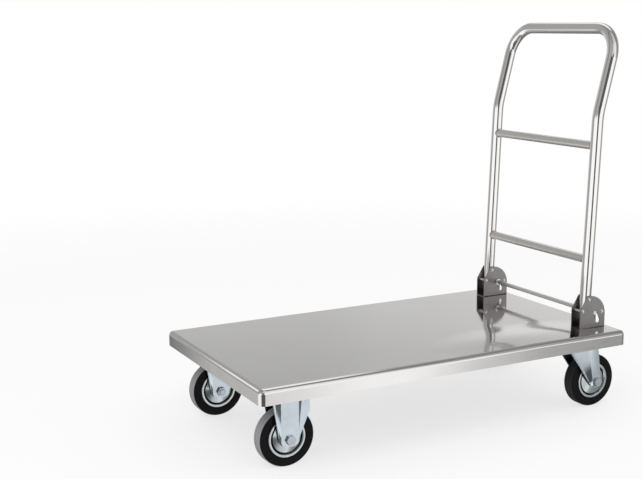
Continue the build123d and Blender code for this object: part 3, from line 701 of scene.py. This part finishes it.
FINISHES = {
    "mirror_stainless": polished_sheet(),
    "tube_stainless": buffed_tube(),
    "crossbar_stainless": satin_crossbar(),
    "bracket_stainless": folded_sheet(),
    "channel_stainless": mill_channel(),
    "rivet_steel": bright_bar(),
    "zinc_fork": zinc_pressing(),
    "zinc_fastener": zinc_fastener(),
    "spring_steel": spring_wire(),
    "bearing_steel": ground_balls(),
    "rim_zinc": pressed_rim(),
    # The tread tone of this rubber is a faint painted sheen.
    "tyre_rubber": tyre_rubber("moulded black rubber", "#2C2C2D"),
    "bush_nylon": nylon_bush(),
    "end_plug_plastic": polythene_plug(),
}
FINISHES["zinc_axle"] = FINISHES["zinc_fastener"]
WELD = weld_metal()
# The front tyres' treads get a pale grey tone: a painted sheen from light falling from the front left.
TREAD_SHEEN_RUBBER = tyre_rubber("black rubber with painted tread sheen", "#98989A")
OWN_FINISHES = {
    "lock_rod": drawn_rod(),
    # The bolts inside the hinge brackets are near black: painted shade.
    "bracket_bolts": shade_black_bolt(),
    "front_left_tyre": TREAD_SHEEN_RUBBER,
    "front_right_tyre": TREAD_SHEEN_RUBBER,
}
SLOT_OF = {piece["node"]: piece["material_slot"] for piece in frame["record"]["subparts"]}
BODY_OF = {
    node: body for body, nodes in frame["record"]["behaviour"]["bodies"].items() for node in nodes
}


def finish_of(node):
    """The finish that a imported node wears: its own, or the one of its slot."""
    return OWN_FINISHES.get(node, FINISHES[SLOT_OF[node]])


def dress(thing, material):
    """Gives an object one material."""
    thing.data.materials.clear()
    thing.data.materials.append(material)


def stand_for(piece, node):
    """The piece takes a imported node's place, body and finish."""
    dress(piece, finish_of(node))
    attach(piece, BODY_OF[node])
    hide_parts(node)


def new_object(name, mesh):
    """An object at the origin that holds this mesh."""
    thing = bpy.data.objects.new(name, mesh)
    bpy.context.scene.collection.objects.link(thing)
    return thing


def read(items, field, width=3, kind=np.float32):
    """One field of all of a mesh's points, corners or faces, as an array of rows of this width."""
    values = np.empty(len(items) * width, kind)
    items.foreach_get(field, values)
    return values.reshape(-1, width)


def shade_smoothly(mesh):
    """Shades every face of a mesh smoothly, and drops the normals that a copy brought with it."""
    if "custom_normal" in mesh.attributes:
        mesh.attributes.remove(mesh.attributes["custom_normal"])
    mesh.polygons.foreach_set("use_smooth", np.ones(len(mesh.polygons), dtype=bool))


def surface(name, grids, wrap_rows=True):
    """A smooth closed mesh from grids of points: rows run along a path and columns round a loop. Columns
    always close on themselves, and rows do too if wrap_rows. UV runs 0 to 1 along rows and round columns.
    Faces point outwards: a grid whose signed volume, the sum of a . (b x c) / 6, is negative is turned."""
    corners, faces, uvs, base = [], [], [], 0
    for grid in grids:
        rows, columns = grid.shape[:2]
        i, j = np.meshgrid(np.arange(rows if wrap_rows else rows - 1), np.arange(columns), indexing="ij")
        i, j = i.ravel(), j.ravel()
        steps = np.stack([(i, j), (i + 1, j), (i + 1, j + 1), (i, j + 1)], axis=2)
        quads = (steps[0] % rows) * columns + steps[1] % columns
        flat = grid.reshape(-1, 3)
        a, b, c, d = (flat[quads[:, k]] for k in range(4))
        volume = (a * np.cross(b, c)).sum() + (a * np.cross(c, d)).sum()
        order = [0, 1, 2, 3] if volume > 0 else [3, 2, 1, 0]
        corners.append(flat)
        faces.append(quads[:, order] + base)
        uvs.append((steps[:, :, order] / [[[rows]], [[columns]]]).transpose(1, 2, 0))
        base += len(flat)
    mesh = bpy.data.meshes.new(name)
    mesh.from_pydata(np.concatenate(corners).tolist(), [], np.concatenate(faces).tolist())
    layer = mesh.uv_layers.new(name="UVMap")
    layer.data.foreach_set("uv", np.concatenate(uvs).ravel().astype(np.float32))
    shade_smoothly(mesh)
    mesh.update()
    return new_object(name, mesh)


def rounded_loop(points, radii, steps=5):
    """A closed outline with each corner rounded: the corner moves back along both sides by its radius times
    the tangent of half the turn, at most by not quite half a side, and a circle's arc joins the two ends."""
    points = np.asarray(points, float)
    radii = np.broadcast_to(np.asarray(radii, float), len(points))
    back = np.roll(points, 1, axis=0) - points
    ahead = np.roll(points, -1, axis=0) - points
    back_length = np.linalg.norm(back, axis=1)
    ahead_length = np.linalg.norm(ahead, axis=1)
    back /= back_length[:, None]
    ahead /= ahead_length[:, None]
    turn = np.pi - np.arccos(np.clip((back * ahead).sum(axis=1), -1, 1))
    reach = np.minimum(radii * np.tan(turn / 2), 0.48 * np.minimum(back_length, ahead_length))
    radius = reach / np.tan(turn / 2)
    inward = back + ahead
    inward /= np.linalg.norm(inward, axis=1)[:, None]
    centre = points + inward * (radius / np.cos(turn / 2))[:, None]
    start = points + back * reach[:, None] - centre
    end = points + ahead * reach[:, None] - centre
    share = np.linspace(0, 1, steps)[None, :, None]
    angle = turn[:, None, None]
    arcs = np.sin((1 - share) * angle) * start[:, None] + np.sin(share * angle) * end[:, None]
    return (centre[:, None] + arcs / np.sin(angle)).reshape(-1, 2)


def spun(outline, centre):
    """A loop of (radius, y) carried round a line along Y through the centre, as a grid of points."""
    angle = np.linspace(0, 2 * np.pi, WHEEL_STEPS, endpoint=False)[:, None]
    radius, y = outline[:, 0], outline[:, 1] + 0 * angle
    x, z = radius * np.cos(angle), radius * np.sin(angle)
    return np.stack([centre.x + x, centre.y + y, centre.z + z], axis=2)


def piped(path, reference, radius):
    """A circle carried along a path, as a grid of points. Each ring lies across the path's own direction, and
    is set out from the part of the reference that is square to that direction."""
    along = np.gradient(path, axis=0)
    along /= np.linalg.norm(along, axis=1)[:, None]
    side = reference - along * (reference * along).sum(axis=1)[:, None]
    side /= np.linalg.norm(side, axis=1)[:, None]
    across = np.cross(along, side)
    angle = np.linspace(0, 2 * np.pi, WIRE_SIDES, endpoint=False)[None, :, None]
    ring = np.cos(angle) * side[:, None] + np.sin(angle) * across[:, None]
    return path[:, None] + ring * np.broadcast_to(radius, len(path))[:, None, None]


def make_tyre(node, name):
    """A tyre: a loop with round shoulders, a step beside the rim and two grooves round the tread."""
    low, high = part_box(node)
    centre = (low + high) / 2
    outer = (high.z - low.z) / 2
    half = (high.y - low.y) / 2
    groove = TREAD_GROOVE_AT
    dip = outer - TREAD_GROOVE_DEPTH
    right = [
        (TYRE_BORE, half - BEAD_STEP_DEPTH),
        (BEAD_STEP_RADIUS, half - BEAD_STEP_DEPTH),
        (BEAD_STEP_RADIUS + BEAD_STEP_DEPTH, half),
        (outer, half),
        (outer, groove + TREAD_GROOVE_WIDTH / 2),
        (dip, groove + TREAD_GROOVE_WIDTH / 4),
        (dip, groove - TREAD_GROOVE_WIDTH / 4),
        (outer, groove - TREAD_GROOVE_WIDTH / 2),
    ]
    radii = [TYRE_BEND] * 3 + [TYRE_SHOULDER] + [TYRE_BEND / 2] * 4
    left = [(radius, -y) for radius, y in reversed(right)]
    loop = rounded_loop(right + left, radii + radii[::-1], TYRE_CORNER_STEPS)
    stand_for(surface(name, [spun(loop, centre)]), node)


def make_rim(node, name):
    """Two pressed discs back to back: a lip, a groove, a shallow cone and a flat boss round the hub."""
    low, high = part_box(node)
    centre = (low + high) / 2
    lip = (high.z - low.z) / 2
    face = (high.y - low.y) / 2 - RIM_SHEET
    seat = TYRE_BORE
    dish = seat - RIM_GROOVE_WIDTH
    floor = face - RIM_GROOVE_DEPTH
    inset = RIM_HUB_RADIUS + RIM_SHEET
    half_gap = RIM_SHEET / 2
    outline = np.array([
        (lip, face + RIM_SHEET),
        (seat - RIM_SHEET, face + RIM_SHEET),
        (dish + RIM_GROOVE_FLOOR, floor),
        (dish, floor),
        (dish - RIM_SHEET, face - RIM_DISH_DEPTH),
        (RIM_BOSS_RADIUS, face + RIM_SHEET),
        (RIM_HUB_RADIUS, face + RIM_SHEET),
        (RIM_HUB_RADIUS, half_gap),
        (inset, half_gap),
        (inset, face),
        (RIM_BOSS_RADIUS, face),
        (dish - 2 * RIM_SHEET, face - RIM_DISH_DEPTH - RIM_SHEET),
        (dish - RIM_SHEET, floor - RIM_SHEET),
        (seat - RIM_SHEET, floor - RIM_SHEET),
        (seat - RIM_SHEET, half_gap),
        (seat, half_gap),
        (seat, face),
        (lip, face),
    ])
    loop = rounded_loop(outline, RIM_BEND)
    rim = surface(name, [spun(loop, centre), spun(loop * [1, -1], centre)])
    stand_for(rim, node)


def make_spring(side):
    """A return spring: a straight leg under the lock rod, a helix round the spring pin, whose point at angle
    t is the coil's radius times (cos t, sin t) with a steady climb along Y, and a foot on the bracket's
    floor. The wire's two ends close to a point."""
    node = f"{side}_return_spring"
    low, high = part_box(node)
    middle_y = (low.y + high.y) / 2
    rod_low, rod_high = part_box("lock_rod")
    rod = (rod_low + rod_high) / 2
    pin_low, pin_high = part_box("spring_pins")
    pin = (pin_low + pin_high) / 2
    coil = (pin_high.z - pin_low.z) / 2 - RIVET_HEAD_GROWTH + COIL_CLEARANCE + WIRE_RADIUS
    from_rod = (rod_high.z - rod_low.z) / 2 + LEG_CLEARANCE + WIRE_RADIUS
    reach = np.hypot(rod.x - pin.x, rod.z - pin.z)
    first = atan2(rod.z - pin.z, rod.x - pin.x) - np.arcsin((coil - from_rod) / reach) + 1.5 * np.pi
    first = first % (2 * np.pi) - np.pi
    turn = np.pi - first + 2 * np.pi * SPRING_WHOLE_TURNS
    share = np.linspace(0, 1, int(turn / (2 * np.pi) * TURN_STEPS))
    angle = first + turn * share
    rise = SPRING_PITCH * turn / (2 * np.pi)
    helix = np.stack(
        [pin.x + coil * np.cos(angle), middle_y + rise * (share - 0.5), pin.z + coil * np.sin(angle)], axis=1
    )
    back = np.array([np.sin(first), 0, -np.cos(first)])
    leg = helix[0] + back * np.linspace(reach + SPRING_LEG_OVERRUN, 0, LEG_STEPS, endpoint=False)[:, None]
    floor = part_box(f"{side}_hinge_bracket")[0].z + BRACKET_SHEET
    drop = np.linspace(0, helix[-1][2] - floor, FOOT_STEPS)[1:, None]
    foot = helix[-1] - np.array([0, 0, 1.0]) * drop
    path = np.concatenate([leg, helix, foot])
    path = np.concatenate([path[:1], path, path[-1:]])
    path[[0, -1]] += (path[[1, -2]] - path[[2, -3]]) * 1e-3
    thickness = np.concatenate([[0], np.full(len(path) - 2, WIRE_RADIUS), [0]])
    wire = piped(path, np.array([[0, 1.0, 0]]), thickness)
    spring = surface(f"{side}_coiled_spring", [wire], wrap_rows=False)
    clean = bmesh.new()
    clean.from_mesh(spring.data)
    bmesh.ops.remove_doubles(clean, verts=clean.verts, dist=WIRE_RADIUS / 100)
    clean.to_mesh(spring.data)
    clean.free()
    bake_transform(spring)
    stand_for(spring, node)


def make_weld(bar, side):
    """A weld bead round a crossbar's end, along the line where the bar's cylinder meets the upright's: at
    angle t round the bar its distance from the upright's line is the root of R2 - (r cos t)2."""
    low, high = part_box(bar)
    handle_low, handle_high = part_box("handle_tube")
    sign = 1 if side == "left" else -1
    upright = sign * ((handle_high.y - handle_low.y) / 2 - TUBE_RADIUS)
    bar_radius = (high.z - low.z) / 2
    lean = np.array([sin(radians(HANDLE_LEAN)), 0, cos(radians(HANDLE_LEAN))])
    level = np.array([lean[2], 0, -lean[0]])
    angle = np.linspace(0, 2 * np.pi, BEAD_STEPS, endpoint=False)[:, None]
    outward = np.cos(angle) * level + np.sin(angle) * lean
    centre = np.array([(low.x + high.x) / 2, upright, (low.z + high.z) / 2])
    away = np.sqrt(TUBE_RADIUS**2 - (bar_radius * np.cos(angle)) ** 2)
    path = centre + bar_radius * outward - sign * away * np.array([0, 1.0, 0])
    closed = np.concatenate([path[-1:], path, path[:1]])
    around = np.concatenate([outward[-1:], outward, outward[:1]])
    ripple = BEAD_RADIUS + BEAD_RIPPLE * np.sin(BEAD_RIPPLES * angle[:, 0])
    ripple = np.concatenate([ripple[-1:], ripple, ripple[:1]])
    bead = surface(f"{bar}_{side}_weld", [piped(closed, around, ripple)[1:-1]])
    dress(bead, WELD)
    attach(bead, "handle")


def round_edges(node, width):
    """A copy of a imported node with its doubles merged, its flat faces joined and its sharp edges rounded."""
    mesh = NODES[node].data.copy()
    work = bmesh.new()
    work.from_mesh(mesh)
    bmesh.ops.remove_doubles(work, verts=work.verts, dist=MERGE_DISTANCE)
    bmesh.ops.dissolve_limit(work, angle_limit=FLAT_ANGLE, verts=work.verts, edges=work.edges)
    work.to_mesh(mesh)
    work.free()
    shade_smoothly(mesh)
    mesh.set_sharp_from_angle(angle=SHARP_ANGLE)
    piece = new_object(f"{node}_rounded", mesh)
    bevel = piece.modifiers.new("edges", "BEVEL")
    bevel.width = width
    bevel.segments = EDGE_SEGMENTS
    bevel.limit_method = "ANGLE"
    bevel.angle_limit = SHARP_ANGLE
    bevel.harden_normals = True
    stand_for(piece, node)


def cut_cells(mesh):
    """Merges a mesh's doubles and cuts it by upright planes where the swell lies, for points to lift."""
    work = bmesh.new()
    work.from_mesh(mesh)
    bmesh.ops.remove_doubles(work, verts=work.verts, dist=MERGE_DISTANCE)
    for axis, across in enumerate((Vector((1, 0, 0)), Vector((0, 1, 0)))):
        middle, reach = SWELL_PLACE[axis], SWELL_REACH[axis]
        for cut in np.linspace(middle - reach, middle + reach, SWELL_CUTS[axis]):
            whole = [*work.verts, *work.edges, *work.faces]
            bmesh.ops.bisect_plane(
                work, geom=whole, dist=MERGE_DISTANCE, plane_co=across * cut, plane_no=across
            )
    bmesh.ops.triangulate(work, faces=work.faces)
    work.to_mesh(mesh)
    work.free()


def swell(points):
    """The swell's rise at each point, and its slope along X and Y. With s falling from 1 in the swell's
    middle to 0 at its reach, the rise is the swell's height times 3s2 - 2s3, and the slope follows from that:
    the height times 6s(1 - s), over the reach, downwards from the middle."""
    offset = (points[:, :2] - SWELL_PLACE) / SWELL_REACH
    away = np.linalg.norm(offset, axis=1)
    near = np.clip(1 - away, 0, 1)
    steepness = 6 * SWELL_HEIGHT * near * (1 - near) / np.maximum(away, 1e-6)
    return SWELL_HEIGHT * near**2 * (3 - 2 * near), -steepness[:, None] * offset / SWELL_REACH


def press_deck(node):
    """The deck's pan with a low swell in its sheet, which bends what the sheet mirrors. On the skirt the rise
    dies away to the lower edge, and a normal leans back by its upright part times the slope. The faces that
    look towards the middle of the pan's open side are its inside, which is left as the mill rolled it."""
    low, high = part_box(node)
    mesh = NODES[node].data.copy()
    normals = read(mesh.corner_normals, "vector")
    flat = mesh.attributes.new("flat_normal", "FLOAT_VECTOR", "CORNER")
    flat.data.foreach_set("vector", normals.ravel())
    cut_cells(mesh)
    points = read(mesh.vertices, "co")
    rise, slope = swell(points)
    held = np.clip((points[:, 2] - low.z) / (high.z - DECK_EDGE_RADIUS - low.z), 0, 1)
    points[:, 2] += rise * held
    mesh.vertices.foreach_set("co", points.ravel())
    normals = read(mesh.attributes["flat_normal"].data, "vector")
    normals[:, :2] -= normals[:, 2:] * slope[read(mesh.loops, "vertex_index", 1, np.int32)[:, 0]]
    normals /= np.linalg.norm(normals, axis=1)[:, None]
    mesh.attributes.remove(mesh.attributes["flat_normal"])
    shade_smoothly(mesh)
    mesh.normals_split_custom_set(normals.tolist())
    stand_for(new_object(f"{node}_pressed", mesh), node)
    mesh.materials.append(FINISHES["channel_stainless"])
    open_side = np.array([(low.x + high.x) / 2, (low.y + high.y) / 2, low.z])
    outward = (read(mesh.polygons, "center") - open_side) * read(mesh.polygons, "normal")
    mesh.polygons.foreach_set("material_index", (outward.sum(axis=1) < 0).astype(np.int32))


def studio_room(tree):
    """How bright the studio is in each direction, as polished metal shows it: a floor and walls whose levels
    follow the angle round from the camera's place, a dark gap there whose width follows the height, a pale
    backdrop that fades upwards, a dim ceiling that starts lowest at the back right, a broad soft box in it
    behind the trolley and a strip light that shows in the deck's front edge."""
    azimuth = radians(CAMERA_AZIMUTH)
    to_camera = (sin(azimuth), -cos(azimuth), 0)
    to_right = (cos(azimuth), sin(azimuth), 0)
    direction = add(tree, "ShaderNodeTexCoord").outputs["Generated"]
    parts = add(tree, "ShaderNodeSeparateXYZ", {0: direction}).outputs
    height = parts["Z"]

    def share_along(axis):
        """How far the direction points along an axis."""
        node = add(tree, "ShaderNodeVectorMath", {0: direction, 1: axis}, operation="DOT_PRODUCT")
        return node.outputs["Value"]

    def graded(value, start, end, low=0.0, high=1.0):
        """The value's share of the way from start to end, eased, between low and high."""
        return add(
            tree,
            "ShaderNodeMapRange",
            {"Value": value, "From Min": start, "From Max": end, "To Min": low, "To Max": high},
            interpolation_type="SMOOTHSTEP",
        ).outputs[0]

    def joined(operation, first, second):
        """Two values joined by one operation."""
        return add(tree, "ShaderNodeMath", {0: first, 1: second}, operation=operation).outputs[0]

    def ramped(value, stops):
        """The level at a value between -1 and 1, eased between stops."""
        share = add(tree, "ShaderNodeMapRange", {"Value": value, "From Min": -1.0, "From Max": 1.0})
        levels = add(tree, "ShaderNodeValToRGB", {"Fac": share.outputs[0]})
        ramp = levels.color_ramp
        ramp.interpolation = "EASE"
        while len(ramp.elements) < len(stops):
            ramp.elements.new(1.0)
        for element, (at, level) in zip(ramp.elements, stops):
            element.position = (at + 1) / 2
            element.color = (level, level, level, 1)
        return levels.outputs[0]

    ahead, aside = share_along(to_camera), share_along(to_right)
    turned = joined("ARCTAN2", aside, ahead)
    round_share = joined("DIVIDE", turned, pi)
    floor = ramped(round_share, [(angle / 180, level) for angle, level in FLOOR_LEVELS])
    walls = ramped(round_share, [(angle / 180, level) for angle, level in WALL_LEVELS])
    low_glow = graded(height, BACKDROP_TOP, BACKDROP_FULL, 0.0, BACKDROP_GLOW)
    backdrop = joined("MULTIPLY", low_glow, graded(ahead, *BACKDROP_SIDE))
    for start, end, edge, heights, level in WALL_SHADES:
        inside = band(tree, turned, radians(start), radians(end), radians(edge))
        shade = graded(height, *heights, 1.0, level)
        walls = joined("MULTIPLY", walls, graded(inside, 0.0, 1.0, 1.0, shade))
    room = graded(height, *FLOOR_TO_WALL, floor, joined("ADD", walls, backdrop))
    off_camera = add(tree, "ShaderNodeMath", {0: turned}, operation="ABSOLUTE").outputs[0]
    gap_half = ramped(height, [(at, radians(width)) for at, width in GAP_WIDTHS])
    gap_level = graded(height, *GAP_CLOSES, GAP_LEVEL, GAP_CLOSED_LEVEL)
    gap = graded(off_camera, joined("MULTIPLY", gap_half, GAP_CORE), gap_half, gap_level, 1.0)
    high_near = joined("MULTIPLY", graded(height, *NEAR_WALL_DIMS), graded(ahead, *NEAR_WALL_SIDE))
    dimmed = joined("MULTIPLY", room, graded(high_near, 0.0, 1.0, 1.0, NEAR_WALL_LEVEL))
    lit = joined("MULTIPLY", dimmed, gap)
    lifted = joined("MAXIMUM", graded(ahead, *CEILING_NEAR), graded(aside, *CEILING_LEFT))
    lift = joined("MULTIPLY", lifted, CEILING_LIFT)
    below_ceiling = graded(joined("SUBTRACT", height, lift), *CEILING_HEIGHTS, 1.0, CEILING_LEVEL)
    shaded = joined("MULTIPLY", lit, below_ceiling)
    at_box = share_along(tuple(Vector(SOFT_BOX).normalized()))
    box = joined("MULTIPLY", graded(at_box, *SOFT_BOX_EDGE), graded(parts["X"], *SOFT_BOX_RIGHT))
    strip = joined("MULTIPLY", graded(parts["X"], *STRIP_X), graded(parts["Y"], *STRIP_Y))
    strip = joined("MULTIPLY", strip, graded(parts["Y"], *STRIP_FADE))
    strip = joined("MULTIPLY", strip, graded(parts["Z"], *STRIP_Z))
    return joined("MAXIMUM", shaded, joined("MAXIMUM", box, strip))


def light_studio():
    """A white surround for the camera, the studio's walls for polished metal, and an even soft light for the
    rest; two large lamps, which the metal doesn't mirror, give the floor its soft shadow."""
    world = bpy.data.worlds.new("studio")
    world.use_nodes = True
    world.cycles.sampling_method = "NONE"
    bpy.context.scene.world = world
    tree = world.node_tree
    tree.nodes.clear()
    path = add(tree, "ShaderNodeLightPath")
    mirrored = add(
        tree,
        "ShaderNodeMath",
        {0: path.outputs["Is Glossy Ray"], 1: path.outputs["Is Transmission Ray"]},
        operation="MAXIMUM",
    )
    even = add(tree, "ShaderNodeBackground", {"Color": (1, 1, 1, 1), "Strength": SOFT_LIGHT})
    walls = add(tree, "ShaderNodeBackground", {"Color": studio_room(tree)})
    white = add(tree, "ShaderNodeBackground", {"Color": (1, 1, 1, 1)})
    seen = add(
        tree,
        "ShaderNodeMixShader",
        {0: mirrored.outputs[0], 1: even.outputs[0], 2: walls.outputs[0]},
    )
    shown = add(
        tree,
        "ShaderNodeMixShader",
        {0: path.outputs["Is Camera Ray"], 1: seen.outputs[0], 2: white.outputs[0]},
    )
    add(tree, "ShaderNodeOutputWorld", {"Surface": shown.outputs[0]})
    for name, place, size, power in (
        ("key", KEY_PLACE, KEY_SIZE, KEY_POWER),
        ("fill", FILL_PLACE, FILL_SIZE, FILL_POWER),
    ):
        lamp = bpy.data.lights.new(name, "AREA")
        lamp.energy = power
        lamp.size = size
        holder = bpy.data.objects.new(name, lamp)
        bpy.context.scene.collection.objects.link(holder)
        holder.location = place
        aim = Vector(LAMP_AIM) - Vector(place)
        holder.rotation_euler = aim.to_track_quat("-Z", "Y").to_euler()
        holder.visible_glossy = False


def lay_floor():
    """A pale matt floor that takes the soft shadow; the camera sees it whitened, and plain white far away."""
    corners = np.array([(-1, -1, 0), (1, -1, 0), (1, 1, 0), (-1, 1, 0)]) * FLOOR_HALF
    mesh = bpy.data.meshes.new("floor")
    mesh.from_pydata(corners.tolist(), [], [(0, 1, 2, 3)])
    floor = new_object("floor", mesh)
    material, tree, coords = start_material("pale studio floor")
    distance = add(
        tree, "ShaderNodeVectorMath", {0: coords.outputs["Object"]}, operation="LENGTH"
    )
    far = add(
        tree,
        "ShaderNodeMapRange",
        {
            "Value": distance.outputs["Value"],
            "From Min": FLOOR_NEAR,
            "From Max": FLOOR_FAR,
            "To Min": FLOOR_WHITE,
        },
        interpolation_type="SMOOTHSTEP",
    )
    path = add(tree, "ShaderNodeLightPath")
    whitened = add(
        tree, "ShaderNodeMath", {0: far.outputs[0], 1: path.outputs["Is Camera Ray"]}, operation="MULTIPLY"
    )
    matt = add(tree, "ShaderNodeBsdfDiffuse", {"Color": linear(FLOOR_TONE)})
    white = add(tree, "ShaderNodeEmission", {"Color": (1, 1, 1, 1)})
    shown = add(
        tree,
        "ShaderNodeMixShader",
        {0: whitened.outputs[0], 1: matt.outputs[0], 2: white.outputs[0]},
    )
    add(tree, "ShaderNodeOutputMaterial", {"Surface": shown.outputs[0]})
    dress(floor, material)
    floor.visible_glossy = False


def set_camera():
    """The photograph's view: turned about Z, tilted, then rolled about the lens."""
    lens = bpy.data.cameras.new("camera")
    lens.lens = CAMERA_LENS
    lens.sensor_width = SENSOR_WIDTH
    lens.sensor_fit = "HORIZONTAL"
    lens.clip_end = CAMERA_REACH
    camera = bpy.data.objects.new("camera", lens)
    bpy.context.scene.collection.objects.link(camera)
    turn = Matrix.Rotation(radians(CAMERA_AZIMUTH), 4, "Z")
    tilt = Matrix.Rotation(radians(90 - CAMERA_ELEVATION), 4, "X")
    roll = Matrix.Rotation(radians(CAMERA_ROLL), 4, "Z")
    camera.matrix_world = Matrix.Translation(CAMERA_PLACE) @ turn @ tilt @ roll
    bpy.context.scene.camera = camera


for node, thing in NODES.items():
    dress(thing, finish_of(node))
for end in ENDS:
    for side in SIDES:
        make_tyre(f"{end}_{side}_tyre", f"{end}_{side}_moulded_tyre")
        make_rim(f"{end}_{side}_rim_discs", f"{end}_{side}_spun_rim")
for side in SIDES:
    make_spring(side)
    for bar in ("upper_crossbar", "lower_crossbar"):
        make_weld(bar, side)
press_deck("deck_panel")
for kind, width in EDGE_ROUNDING.items():
    for node in [name for name in NODES if name.endswith(kind)]:
        round_edges(node, width)
light_studio()
lay_floor()
set_camera()
bpy.context.scene.view_settings.view_transform = "Standard"
